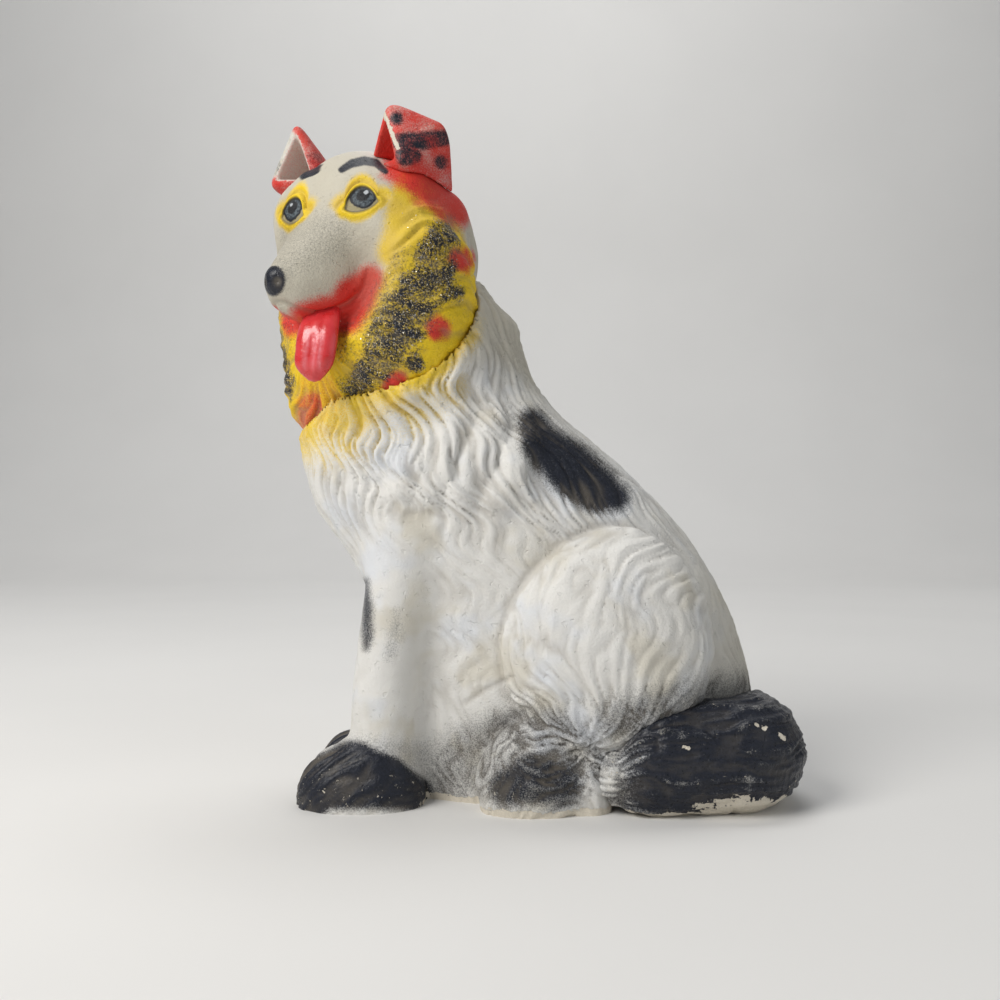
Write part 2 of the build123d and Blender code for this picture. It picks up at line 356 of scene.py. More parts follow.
def egg(points, centre, half):
    return oval((points - np.array(centre)).T, half)


def ball(points, centre, radius):
    return np.linalg.norm(points - np.array(centre), axis=1) - radius


def melt(one, other, width):
    """Union of two fields with a soft fillet."""
    share = np.clip(0.5 + 0.5 * (other - one) / width, 0.0, 1.0)
    return other + (one - other) * share - width * share * (1.0 - share)


def carve(form, tool, width):
    """One field cut away from another, with a soft edge."""
    return -melt(-form, tool, width)


def to_left(points):
    """Points of the body's right side mirrored to its left, which faces -Y."""
    return points * [1.0, 0.0, 1.0] - np.abs(points) * [0.0, 1.0, 0.0]


def folded(places):
    """Places in the axes of the head or the ruff, with the right half mirrored to the left."""
    return places * [1.0, 0.0, 1.0] + np.abs(places) * [0.0, 1.0, 0.0]


def seen(points):
    """Where each point shows on the middle plane from the eye point, as X and Z."""
    share = EYE_POINT[1] / (EYE_POINT[1] - points[:, 1])
    return EYE_POINT[[0, 2]] + (points[:, [0, 2]] - EYE_POINT[[0, 2]]) * share[:, None]


def thick_path(places, path):
    """Distance to a path, flat or solid, whose corners end in a half width; below 0 inside it."""
    path = np.array(path, float)
    gap = np.full(len(places), np.inf)
    for start, end in zip(path[:-1], path[1:]):
        run = (end - start)[:-1]
        share = np.clip((places - start[:-1]) @ run / max(run @ run, 1e-9), 0.0, 1.0)
        reach = np.linalg.norm(places - start[:-1] - share[:, None] * run, axis=1)
        gap = np.minimum(gap, reach - start[-1] - share * (end[-1] - start[-1]))
    return gap


def spray(flat, path, soft):
    """Cover of a sprayed stroke of X, Z and half width: 1 inside it, fading to 0 over soft."""
    return ease(thick_path(flat, path if len(path) > 1 else path * 2), soft, 0.0)


# The body


def trunk(points, grow=0.0):
    middle, length, width = through(points[:, 2], TRUNK)
    return oval((points[:, 0] - middle, points[:, 1]), (length + grow, width + grow))


def foreleg(left):
    x, y, radius = through(left[:, 2], FORELEG)
    leg = np.hypot(left[:, 0] - x, left[:, 1] - y) - radius
    return np.maximum(leg, left[:, 2] - FORELEG[-1][0])


def hock(left):
    x, y, radius = through(left[:, 2], HOCK)
    return np.maximum(np.hypot(left[:, 0] - x, left[:, 1] - y) - radius, left[:, 2] - HOCK[-1][0])


def mane_paths():
    """Middle line of each lock of the mane, half sunk in the left flank, with its radius."""
    paths = []
    for lock in MANE_LOCKS:
        x, z = np.array(lock).T
        middle, length, width = through(z, TRUNK)
        y = LOCK_SINK - width * np.sqrt(1.0 - ((x - middle) / length) ** 2)
        share = np.linspace(0.0, pi, len(lock))
        radius = LOCK_TIP + (LOCK_RADIUS - LOCK_TIP) * np.sqrt(np.abs(np.sin(share)))
        paths.append(np.stack([x, y, z, radius], 1))
    return paths


MANE = mane_paths()


def mane(left):
    """Field of the locks of the mane."""
    form = np.full(len(left), MANE_REACH)
    some = (np.abs(left[:, 2] - MANE_MIDDLE) < MANE_SPAN) & (left[:, 1] < MANE_SIDE)
    gaps = [thick_path(left[some], path) for path in MANE]
    form[some] = np.minimum.reduce([form[some], *gaps])
    return form


def body(points):
    """Skin of both half shells together."""
    left = to_left(points)
    form = melt(trunk(points), foreleg(left), 9.0)
    form = melt(form, mane(left), 4.0)
    form = melt(form, hock(left), 6.0)
    form = melt(form, egg(left, HAUNCH_CENTRE, HAUNCH_HALF), 3.5)
    tall = PAW_HALF[2] - FAR_PAW_DROP * (points[:, 1] > 0.0)
    form = melt(form, oval((left - PAW_CENTRE).T, (*PAW_HALF[:2], tall)), 7.0)
    form = melt(form, egg(left, HIND_FOOT_CENTRE, HIND_FOOT_HALF), 3.0)
    high = points[:, 2] > NECK_FLOOR
    form[high] = neck(points[high], form[high])
    return form


def neck(points, form):
    """Body with its mantle and tuft, and hair that fills the step under the ruff, clear of the head."""
    hair = melt(form, egg(points, MANTLE_CENTRE, MANTLE_HALF), 8.0)
    hair = melt(hair, egg(points, TUFT_CENTRE, TUFT_HALF), 5.0)
    step = melt(hair, ruff(points), 1.0 + 13.0 * ease(points[:, 2], 214.0, 194.0))
    hair = np.maximum(step, hair - HEM_FILL)
    return np.minimum(form, np.maximum(hair, 4.0 * SLIP_GAP - head_skin(points)))


def locks(across, along, deep, seed):
    """Rounded locks with sharp valleys: height from 0 in a valley to about 1 on a crest."""
    return np.abs(noise(np.stack([across, along, deep], 1), seed)) ** 0.75


def trunk_locks(points, sculpt):
    """Wavy locks that run down the trunk from the neck to the foot."""
    x, y, z = points.T
    middle, length, width = through(z, TRUNK)
    around = np.arctan2(y / width, (x - middle) / length)
    drift = noise(points / 38.0, 11)
    swing = sculpt.wave_swing / MM * np.sin(2 * pi * (z + 0.3 * x) * MM / sculpt.wave_length + 2.4 * drift)
    across = (around * 58.0 + swing + 3.0 * drift) / (sculpt.lock_spacing / MM)
    coarse = locks(across, z / 30.0, drift, 21)
    fine = locks(across * 2.3, z / 18.0, drift, 22)
    return 0.74 * coarse + 0.26 * fine


def haunch_locks(left):
    """Locks that sweep down the haunch and run together above the foot."""
    x, z = left[:, 0] - LOCK_MEETING[0], left[:, 2] - LOCK_MEETING[1]
    reach = np.hypot(x, z)
    drift = noise(left / 30.0, 12)
    angle = np.arctan2(x, z) + 0.3 * np.sin(pi * reach / 86.0) + 0.22 * drift
    swing = 2.6 * np.sin(2 * pi * reach / 31.0 + 2.0 * drift + 1.5 * angle)
    across = (angle * (18.0 + 0.55 * reach) + swing) / HAUNCH_LOCK_SPACING
    coarse = locks(across, reach / 17.0 + drift, drift, 23)
    fine = locks(across * 2.1, reach / 11.0, drift, 24)
    return 0.72 * coarse + 0.28 * fine


def body_relief(points, sculpt):
    """Height of the hair, toes and lumps over the smooth skin of the body."""
    left = to_left(points)
    x, _, z = points.T
    depth = sculpt.lock_depth / MM
    middle, length, _ = through(z, TRUNK)
    rear = ease((x - middle) / length, 0.35, 0.8)
    front = ease((x - middle) / length, -0.55, -0.95)
    edge = egg(left, HAUNCH_CENTRE, HAUNCH_HALF) - trunk(points)
    haunch = ease(edge, 2.5, -2.5)
    limb = ease(np.minimum(foreleg(left), egg(left, PAW_CENTRE, PAW_HALF)), 7.0, 1.0)
    foot = ease(egg(left, HIND_FOOT_CENTRE, HIND_FOOT_HALF), 9.0, 1.0)
    coat = ease(z, 92.0, 132.0) * (1.0 - 0.7 * rear) * (1.0 - 0.5 * front) + 0.34
    coat = coat * (1.0 - haunch) * (1.0 - 0.9 * limb * ease(z, 130.0, 95.0)) * (1.0 - foot)
    under_head = ease(head_skin(points), 0.5, 3.5)
    relief = depth * coat * (trunk_locks(points, sculpt) - 0.3)
    low = ease(z, 62.0, 36.0)
    relief += depth * haunch * (0.5 + 0.45 * low) * (haunch_locks(left) - 0.3)
    relief += 0.4 * noise(points / 17.0, 31) + 0.2 * noise(points / 6.0, 32)
    relief += paw_relief(left) + foot_swirl(left) * foot
    crease = np.exp(-((edge / HAUNCH_CREASE_WIDTH) ** 2)) * ease(x, 62.0, 40.0) * ease(z, 34.0, 48.0)
    relief -= HAUNCH_CREASE_DEPTH * crease
    relief -= BELLY_CRACK_DEPTH * spray(seen(left), BELLY_CRACK, 1.8)
    return relief * under_head


def paw_relief(left):
    """Grooves between the toes of the front paws, and the hair that runs down over them."""
    x, y, z = (left - np.array(PAW_CENTRE)).T
    paw = ease(egg(left, PAW_CENTRE, PAW_HALF), 3.0, 0.5)
    toes = ease(x, -6.0, -16.0) * paw
    drift = noise(left / 16.0, 43)
    across = (0.75 * z - 0.55 * x + 0.8 * y) / 4.2 + 0.6 * drift
    hair = locks(across, (0.6 * x + 0.5 * z) / 20.0, drift, 44)
    fan = y + 0.12 * x
    groove = sum(np.exp(-(((fan - place) / 1.5) ** 2)) for place in TOE_GROOVES)
    return -TOE_DEPTH * toes * groove + PAW_HAIR_DEPTH * paw * (hair - 0.3)


def foot_swirl(left):
    """Arcs of loose hair over the hind foot."""
    x, _, z = (left - np.array(FOOT_SWIRL_CENTRE)).T
    reach = np.hypot(x / HIND_FOOT_HALF[0], z / HIND_FOOT_HALF[2]) * 20.0
    wobble = noise(left / 11.0, 41)
    hair = locks(reach / 4.2 + wobble, np.arctan2(x, z + 12.0) * 1.2, wobble, 42)
    return FOOT_HAIR_DEPTH * (hair - 0.35)


# The head


def turned(turn, nod, tilt):
    """Axes of the head or the ruff as columns: forward, left, up."""
    forward = np.array([-cos(turn) * cos(nod), -sin(turn) * cos(nod), -sin(nod)])
    upward = np.array([-cos(turn) * sin(nod), -sin(turn) * sin(nod), cos(nod)])
    left = np.cross(upward, forward)
    side = cos(tilt) * left - sin(tilt) * upward
    return np.stack([forward, side, sin(tilt) * left + cos(tilt) * upward], 1)


HEAD_AXES = turned(HEAD_TURN, HEAD_NOD, HEAD_TILT)
RUFF_AXES = turned(HEAD_TURN, 0.0, 0.0)


def in_head(points):
    return (points - HEAD_PLACE) @ HEAD_AXES


def from_head(head):
    return head @ HEAD_AXES.T + HEAD_PLACE


def in_ruff(points):
    return (points - RUFF_PLACE) @ RUFF_AXES


def cheek_to_left(points):
    """Points of the right half of the head mirrored to its left half."""
    return from_head(folded(in_head(points)))


def muzzle(head):
    height, width, tall = through(head[:, 0], MUZZLE)
    tube = oval((head[:, 1], head[:, 2] - height), (width, tall))
    front = -melt(-tube, MUZZLE_END - head[:, 0], 9.0)
    return np.maximum(front, MUZZLE[0][0] - head[:, 0])


def face(points):
    """Skull, cheeks, jaw, ear roots, muzzle and nose."""
    head = in_head(points)
    left = folded(head)
    form = melt(ball(head, SKULL_CENTRE, SKULL_RADIUS), muzzle(head), 9.0)
    form = melt(form, ball(left, CHEEK_CENTRE, CHEEK_RADIUS), 9.0)
    form = melt(form, ball(head, RIGHT_BROW_CENTRE, RIGHT_BROW_RADIUS), 6.0)
    form = melt(form, egg(head, JAW_CENTRE, JAW_HALF), 9.0)
    form = melt(form, along_path(left, EAR_ROOT)[0] - EAR_ROOT_RADIUS, 8.0)
    return melt(form, ball(head, NOSE_CENTRE, NOSE_RADIUS), 2.5)


def ruff(points):
    """Collar of hair, hollowed round the muzzle, with its far corner and the jowls."""
    place = in_ruff(points)
    form = carve(oval(place.T, RUFF_HALF), egg(place, RUFF_BOWL_CENTRE, RUFF_BOWL_HALF), 7.0)
    form = melt(form, egg(place, FAR_HEM_CENTRE, FAR_HEM_HALF), 6.0)
    return melt(form, ball(folded(place), JOWL_CENTRE, JOWL_RADIUS), 10.0)


def head_skin(points):
    """Outer skin of the head's casting."""
    form = melt(face(points), ruff(points), 11.0)
    return melt(form, ball(points, NAPE_CENTRE, NAPE_RADIUS), 7.0)


def neck_seat(points):
    """The part of the neck that the head sits over."""
    return np.maximum(trunk(points, SLIP_GAP), points[:, 2] - NECK_RIM - NECK_BOND)


def head(points):
    return np.maximum(head_skin(points), -neck_seat(points))


def eye_frames():
    """Place and axes of each eye on the smooth face: outwards from the nose, up, and out."""
    frames = []
    for place, side in ((LEFT_EYE, 1.0), (RIGHT_EYE, -1.0)):
        spot = settle(from_head(np.array([place])), face, 6, 3.0)
        out = outward(spot, face)[0]
        across = np.cross(HEAD_AXES[:, 2], out) * side
        across /= np.linalg.norm(across)
        up = np.cross(out, across) * side
        frames.append((spot[0], np.stack([across, up, out], 1)))
    return frames


def eye_places(points):
    """Each point in the axes of the eye that is nearer to it."""
    places = [(points - spot) @ axes for spot, axes in eye_frames()]
    nearer = np.linalg.norm(places[0], axis=1) < np.linalg.norm(places[1], axis=1)
    return np.where(nearer[:, None], places[0], places[1])


def eye_gap(eye):
    """How far inside the almond opening of an eye each point lies, below 0 outside it."""
    share = np.clip((eye[:, 0] - EYE_INNER[0]) / (EYE_OUTER[0] - EYE_INNER[0]), 0.0, 1.0)
    line = EYE_INNER[1] + share * (EYE_OUTER[1] - EYE_INNER[1])
    arch = (4.0 * share * (1.0 - share)) ** 0.8
    upper = line + EYE_LID_RISE * arch - eye[:, 1]
    lower = eye[:, 1] - line + EYE_LID_DROP * arch
    beyond = np.maximum(EYE_INNER[0] - eye[:, 0], eye[:, 0] - EYE_OUTER[0])
    corner = -np.hypot(beyond, eye[:, 1] - line)
    return np.where(beyond > 0.0, corner, np.minimum(upper, lower))


def eye_relief(eye):
    """Eyeball, lids and the crease above them."""
    gap = eye_gap(eye)
    reach = np.hypot(eye[:, 0], eye[:, 1])
    near = ease(np.abs(eye[:, 2]), 12.0, 8.0)
    upper = ease(eye[:, 1], -3.5, 1.0)
    dome = ease(gap, -0.4, 0.6) * (0.7 - 0.02 * reach**2)
    lid = (0.7 + 0.8 * upper) * np.exp(-(((gap + 1.3) / 1.3) ** 2))
    crease = -0.9 * np.exp(-(((gap + 4.2) / 1.2) ** 2)) * upper
    socket = -1.2 * np.exp(-((reach / 9.5) ** 2))
    return near * (dome + lid + crease + socket)


def along_path(points, path):
    """Distance of each point to a path, and how far along the path it lies from 0 to 1."""
    path = np.array(path, float)
    best = np.full(len(points), np.inf)
    share = np.zeros(len(points))
    for i, (start, end) in enumerate(zip(path[:-1], path[1:])):
        run = end - start
        part = np.clip((points - start) @ run / (run @ run), 0.0, 1.0)
        gap = np.linalg.norm(points - start - part[:, None] * run, axis=1)
        share = np.where(gap < best, (i + part) / (len(path) - 1), share)
        best = np.minimum(best, gap)
    return best, share


def face_relief(points):
    """Eyes, brows, lips and nostrils over the smooth face."""
    head = in_head(points)
    left = folded(head)
    lip, share = along_path(left, LIP_LINE)
    relief = -1.5 * np.exp(-((lip / 1.3) ** 2)) * (1.0 - 0.55 * share)
    relief += 0.8 * np.exp(-(((lip - 3.0) / 1.8) ** 2)) * (1.0 - share)
    relief += -1.3 * np.exp(-((np.linalg.norm(left - NOSTRIL, axis=1) / 1.8) ** 2))
    brow, _ = along_path(left, BROW_LINE)
    relief += 1.1 * np.exp(-((brow / 4.0) ** 2))
    relief += eye_relief(eye_places(points))
    return relief + 0.22 * noise(points / 12.0, 51) + 0.07 * noise(points / 4.0, 52)


def ruff_share(points):
    """1 on the ruff, 0 on the face and the nape."""
    rest = np.minimum(face(points), ball(points, NAPE_CENTRE, NAPE_RADIUS))
    return ease(ruff(points) - rest, 4.0, -6.0)


def bald(points):
    """1 on the smooth plaster of the face and cheeks, as it shows from the eye point."""
    return spray(seen(cheek_to_left(points)), FACE_PATCH, 10.0)


def ruff_locks(points):
    """Locks that fan out over the ruff from the face to its rim."""
    _, left, up = in_ruff(points).T
    angle = np.arctan2(up + 12.0, left)
    reach = np.hypot(left / RUFF_HALF[1], up / RUFF_HALF[2])
    drift = noise(points / 26.0, 61)
    across = angle * 44.0 / 5.6 + 0.5 * drift + 0.45 * np.sin(7.0 * reach + 3.0 * drift)
    return 0.75 * locks(across, reach * 1.4, drift, 62) + 0.25 * locks(across * 2.3, reach * 2.0, drift, 63)


def head_relief(points):
    """Height of the face's features and of the hair over the smooth head."""
    share = ruff_share(points) * (1.0 - bald(points))
    _, left, up = in_ruff(points).T
    rim = ease(np.hypot(left / RUFF_HALF[1], up / RUFF_HALF[2]), 0.45, 0.85)
    hem = ease(up, -30.0, -46.0)
    calm = 1.0 - 0.65 * ease(left, -22.0, -44.0)
    relief = share * calm * (0.6 + rim + 0.4 * hem) * 2.0 * (ruff_locks(points) - 0.3)
    relief += share * (0.7 * noise(points / 8.0, 64) + 0.3 * noise(points / 3.5, 67))
    nape = ease(ball(points, NAPE_CENTRE, NAPE_RADIUS) - np.minimum(face(points), ruff(points)), 3.0, -3.0)
    drift = noise(points / 30.0, 65)
    nape_locks = locks((points[:, 0] + points[:, 1]) / 6.0 + drift, points[:, 2] / 40.0, drift, 66)
    relief += nape * 1.1 * (nape_locks - 0.3)
    skin = 1.0 - np.maximum(ruff_share(points), nape)
    return (relief + skin * face_relief(points)) * ease(neck_seat(points), 0.05, 1.5)


# Ears, tongue and tail


def hull_planes(corners):
    """Planes, as direction and offset, that bound the hull of a few corners."""
    corners = np.array(corners)
    middle = corners.mean(0)
    planes = []
    for one, two, three in combinations(corners, 3):
        way = np.cross(two - one, three - one)
        way = way / np.linalg.norm(way)
        way = way if way @ (one - middle) > 0 else -way
        if np.all((corners - one) @ way < 1e-6):
            planes.append((way, way @ one))
    return planes


def bounded(places, planes, width):
    """Field of the solid that a few planes bound, with rounded edges."""
    sides = [places @ way - offset for way, offset in planes]
    form = sides[0]
    for side in sides[1:]:
        form = -melt(-form, -side, width)
    return form


def ear_triangles(flip):
    """Front and back corners of an ear in the head's axes; flip is -1 for the right ear."""
    side = sqrt(SKULL_RADIUS**2 - EAR_SEAT_UP**2 - EAR_SEAT_BACK**2)
    seat = np.array(SKULL_CENTRE) + [-EAR_SEAT_BACK, flip * side + EAR_SHIFT, EAR_SEAT_UP]
    return seat + np.array(EAR_FRONT) * [1, flip, 1], seat + np.array(EAR_BACK) * [1, flip, 1]


def ear_scoop(flip):
    """Planes of the hollow in the front of an ear."""
    front, back = ear_triangles(flip)
    deep = front + (back - front) * EAR_SCOOP
    inner = deep.mean(0) + (deep - deep.mean(0)) * EAR_OPENING / 2
    mouth = front - (back - front) * 0.1
    mouth = mouth.mean(0) + (mouth - mouth.mean(0)) * EAR_OPENING
    return hull_planes([*inner, *mouth])


def ear_field(flip):
    """Field of a folded ear with its hollow front, clear of the skull."""
    outer = hull_planes(np.concatenate(ear_triangles(flip)))
    scoop = ear_scoop(flip)

    def field(points):
        places = in_head(points)
        form = carve(bounded(places, outer, 4.5) - 1.4, bounded(places, scoop, 1.5), 1.2)
        return np.maximum(form, SLIP_GAP - head_skin(points))

    return field


def ear_relief(points):
    return 0.12 * noise(points / 5.0, 91)


TAIL_RINGS = [(float(i), *ring) for i, ring in enumerate(TAIL)]
TAIL_KEYS = np.linspace(0.0, len(TAIL) - 1.0, 80)
TAIL_RUN = np.stack(through(TAIL_KEYS, TAIL_RINGS)[:2], 1)
TAIL_WAY = np.gradient(TAIL_RUN, TAIL_KEYS, axis=0)


def tail_places(points):
    """Key along the tail, distance aside, height, half width and half height at each point."""
    gaps = ((points[:, None, :2] - TAIL_RUN) ** 2).sum(2)
    near = gaps.argmin(1)
    way = TAIL_WAY[near]
    key = TAIL_KEYS[near] + ((points[:, :2] - TAIL_RUN[near]) * way).sum(1) / (way**2).sum(1)
    x, y, z, width, tall = through(key, TAIL_RINGS)
    offset = points[:, :2] - np.stack([x, y], 1)
    turn = np.sign(way[:, 0] * offset[:, 1] - way[:, 1] * offset[:, 0])
    return key, np.linalg.norm(offset, axis=1) * turn, points[:, 2] - z, width, tall


def tail(points):
    """Brush that lies round the rump, clear of the body."""
    _, aside, height, width, tall = tail_places(points)
    return np.maximum(oval((aside, height), (width, tall)), SLIP_GAP - body(points))


def tail_relief(points):
    key, aside, height, width, tall = tail_places(points)
    around = np.arctan2(height / tall, aside / width)
    drift = noise(points / 24.0, 71)
    hair = locks(around * 22.0 / 5.0 + 0.8 * drift, key * 1.1, drift, 72)
    fine = locks(around * 22.0 / 2.2 + 0.8 * drift, key * 1.6, drift, 73)
    lumps = 0.7 * noise(points / 12.0, 74) + 0.35 * noise(points / 5.0, 75)
    return (1.9 * (hair - 0.3) + 0.7 * (fine - 0.3) + lumps) * ease(body(points), 0.4, 2.0)


def tongue_mesh():
    """Closed skin of the tongue, with a groove down its middle."""
    levels, sides = 64, 48
    rows = []
    share = np.linspace(0.0, 1.0, levels)
    heights = TONGUE[0][0] + (TONGUE[-1][0] - TONGUE[0][0]) * share
    x, y, width, thick = through(heights, TONGUE)
    for i in range(levels):
        turn = np.linspace(0.0, 2 * pi, sides, endpoint=False)
        across, out = width[i] * np.cos(turn), thick[i] * np.sin(turn)
        front = np.clip(np.sin(turn), 0.0, 1.0)
        lower = ease(share[i], 0.02, 0.2) * ease(share[i], 0.62, 0.45)
        crease = np.exp(-((across / 1.3) ** 2)) * front * lower
        ripple = 0.22 * np.sin(across * 1.15 + 1.2) * front
        out = out - 1.1 * crease + ripple
        side = np.array([cos(TONGUE_FACING), -sin(TONGUE_FACING)])
        face_way = np.array([-sin(TONGUE_FACING), -cos(TONGUE_FACING)])
        flat = np.array([x[i], y[i]]) + across[:, None] * side + out[:, None] * face_way
        rows.append(np.column_stack([flat, np.full(sides, heights[i])]))
    points = np.concatenate(rows + [rows[0].mean(0)[None] - [0, 0, 0.6], rows[-1].mean(0)[None]])
    faces = []
    for i in range(levels - 1):
        for j in range(sides):
            k = (j + 1) % sides
            faces.append([i * sides + j, i * sides + k, (i + 1) * sides + k, (i + 1) * sides + j])
    for j in range(sides):
        k = (j + 1) % sides
        faces.append([levels * sides, k, j])
        faces.append([levels * sides + 1, (levels - 1) * sides + j, (levels - 1) * sides + k])
    return points, faces


# Skins


def net(field, low, high, step):
    """Points and quads of a field's zero surface, one point for each cube that it crosses."""
    block = 6
    low = np.array(low, float)
    blocks = np.ceil((np.array(high) - low) / (step * block)).astype(int)
    middles = low + (np.indices(blocks).reshape(3, -1).T + 0.5) * block * step
    rough = field(middles).reshape(blocks)
    values = rough.astype(np.float32)
    for axis in range(3):
        values = np.repeat(values, block, axis)
    inner = np.indices((block,) * 3).reshape(3, -1).T
    near = np.argwhere(np.abs(rough) < 1.3 * block * step + 1.0)
    for some in np.array_split(near, len(near) // 1500 + 1):
        spots = (some[:, None] * block + inner).reshape(-1, 3)
        values[tuple(spots.T)] = field(low + spots * step)
    return net_surface(values, low, step)


def net_surface(values, low, step):
    inside = values < 0.0
    corners = np.array(list(np.ndindex(2, 2, 2)))
    span = np.array(inside.shape) - 1
    count = np.zeros(span, np.int8)
    for i, j, k in corners:
        count += inside[i:span[0] + i, j:span[1] + j, k:span[2] + k]
    crossed = (count > 0) & (count < 8)
    cells = np.argwhere(crossed)
    number = np.full(span, -1)
    number[crossed] = np.arange(len(cells))
    total = np.zeros((len(cells), 3))
    hits = np.zeros(len(cells))
    for start in corners:
        for axis in np.flatnonzero(start == 0):
            end = start + np.eye(3, dtype=int)[axis]
            one = values[tuple((cells + start).T)].astype(float)
            other = values[tuple((cells + end).T)].astype(float)
            cross = (one < 0.0) != (other < 0.0)
            share = np.where(cross, one / np.where(cross, one - other, 1.0), 0.0)
            total += cross[:, None] * (start + share[:, None] * (end - start))
            hits += cross
    points = low + (cells + total / hits[:, None]) * step
    quads = []
    for axis in range(3):
        side, top = np.eye(3, dtype=int)[(axis + 1) % 3], np.eye(3, dtype=int)[(axis + 2) % 3]
        change = np.argwhere(np.diff(inside.astype(np.int8), axis=axis) != 0)
        room = np.all((change - side - top >= 0) & (change < span), axis=1)
        change = change[room]
        ring = [change - side - top, change - top, change, change - side]
        loop = np.stack([number[tuple(corner.T)] for corner in ring], 1)
        leaving = inside[tuple(change.T)]
        quads.append(np.where(leaving[:, None], loop, loop[:, ::-1]))
    return points, np.concatenate(quads)


def slopes(points, field):
    """Direction in which a field grows at each point."""
    reach = 0.08
    sides = [field(points + reach * axis) - field(points - reach * axis) for axis in np.eye(3)]
    return np.stack(sides, 1) / (2 * reach)


def settle(points, field, rounds, limit):
    """Points moved onto a field's zero surface, no further than limit in a round."""
    for _ in range(rounds):
        way = slopes(points, field)
        move = way * (field(points) / np.maximum(np.sum(way**2, 1), 0.05))[:, None]
        length = np.maximum(np.linalg.norm(move, axis=1), 1e-9)
        points = points - move * np.minimum(1.0, limit / length)[:, None]
    return points


def outward(points, field):
    way = slopes(points, field)
    return way / np.maximum(np.linalg.norm(way, axis=1), 1e-9)[:, None]


def plain_mesh(name, points, faces, values=None):
    """Mesh in the figure's millimetres, with number attributes on its points."""
    mesh = bpy.data.meshes.new(name)
    mesh.from_pydata(points.tolist(), [], faces if isinstance(faces, list) else faces.tolist())
    for key, value in (values or {}).items():
        set_values(mesh, key, value)
    return mesh


def finer(points, faces, chosen):
    """Faces split in four where chosen says so, as new points and faces."""
    form = bmesh.new()
    verts = [form.verts.new(point) for point in points]
    for loop in faces:
        form.faces.new([verts[i] for i in loop])
    middles = np.array([item.calc_center_median() for item in form.faces])
    picked = {edge for item, yes in zip(form.faces, chosen(middles)) if yes for edge in item.edges}
    bmesh.ops.subdivide_edges(form, edges=list(picked), cuts=1, use_grid_fill=True)
    form.verts.index_update()
    result = np.array([v.co for v in form.verts]), [[v.index for v in item.verts] for item in form.faces]
    form.free()
    return result


def face_detail(points):
    """Where the face needs fine skin: the eyes, the nose and the lips."""
    head = in_head(points)
    left = folded(head)
    eye = np.linalg.norm(eye_places(points), axis=1) < 12.0
    lip = along_path(left, LIP_LINE)[0] < 3.0
    return eye | lip | (np.linalg.norm(left - NOSTRIL, axis=1) < 5.0)


def triples(rows, key):
    """Three numbers of each row of a mesh."""
    flat = np.zeros(len(rows) * 3, np.float32)
    rows.foreach_get(key, flat)
    return flat.reshape(-1, 3).astype(float)


def mesh_points(mesh):
    return triples(mesh.vertices, "co")


def mesh_normals(mesh):
    return triples(mesh.vertex_normals, "vector")


def mesh_values(mesh, key):
    flat = np.zeros(len(mesh.vertices), np.float32)
    mesh.attributes[key].data.foreach_get("value", flat)
    return flat.astype(float)


def set_values(mesh, key, values):
    """One number for each point."""
    made = mesh.attributes.new(key, "FLOAT", "POINT")
    made.data.foreach_set("value", values.astype(np.float32))


def set_vectors(mesh, key, columns):
    """Three numbers for each point."""
    flat = np.stack(columns, 1).astype(np.float32)
    mesh.attributes.new(key, "FLOAT_VECTOR", "POINT").data.foreach_set("vector", flat.ravel())


def set_colour(mesh, key, columns):
    """Four numbers for each point, kept as a colour attribute that holds plain values."""
    flat = np.stack(np.broadcast_arrays(*columns), 1).astype(np.float32)
    mesh.attributes.new(key, "FLOAT_COLOR", "POINT").data.foreach_set("color", flat.ravel())


def placed(name, mesh, materials):
    """Object for a mesh in the figure's millimetres, with its place in its points."""
    moved = (mesh_points(mesh) + SHIFT) * MM
    mesh.vertices.foreach_set("co", moved.astype(np.float32).ravel())
    for material in materials:
        mesh.materials.append(material)
    mesh.update()
    piece = bpy.data.objects.new(name, mesh)
    bpy.context.scene.collection.objects.link(piece)
    return piece


def cut_flat(form, place, facing):
    """Cut a bmesh at a plane and drop the side that the plane faces."""
    everything = form.verts[:] + form.edges[:] + form.faces[:]
    bmesh.ops.bisect_plane(
        form, geom=everything, dist=0.02, plane_co=place, plane_no=facing, clear_outer=True
    )


def close_flat(form, axis, level, facing):
    """Fill the open edges that lie in a level plane, and give the fill the second material."""
    def lies_flat(edge):
        return edge.is_boundary and all(abs(vert.co[axis] - level) < 0.05 for vert in edge.verts)

    rim = [edge for edge in form.edges if lies_flat(edge)]
    for edge in rim:
        for vert in edge.verts:
            vert.co[axis] = level
    made = bmesh.ops.triangle_fill(form, use_beauty=True, use_dissolve=False, edges=rim)
    for fill in [f for f in made["geom"] if isinstance(f, bmesh.types.BMFace)]:
        fill.normal_update()
        if fill.normal[axis] * facing < 0:
            fill.normal_flip()
        fill.material_index = 1
    for edge in rim:
        edge.smooth = False


def add_cavity(form):
    """Inside of the two shells, as rings of the trunk drawn in by the wall."""
    levels, sides = 30, 64
    rings = []
    for level in np.linspace(0.0, NECK_RIM, levels):
        middle, length, width = (v[0] for v in through(np.array([level]), TRUNK))
        turns = [2 * pi * i / sides for i in range(sides)]
        ring = [(middle + (length - WALL) * cos(t), (width - WALL) * sin(t), level) for t in turns]
        rings.append([form.verts.new(spot) for spot in ring])
    for lower, upper in zip(rings, rings[1:]):
        for i in range(sides):
            j = (i + 1) % sides
            wall = form.faces.new((lower[i], upper[i], upper[j], lower[j]))
            wall.material_index = 1


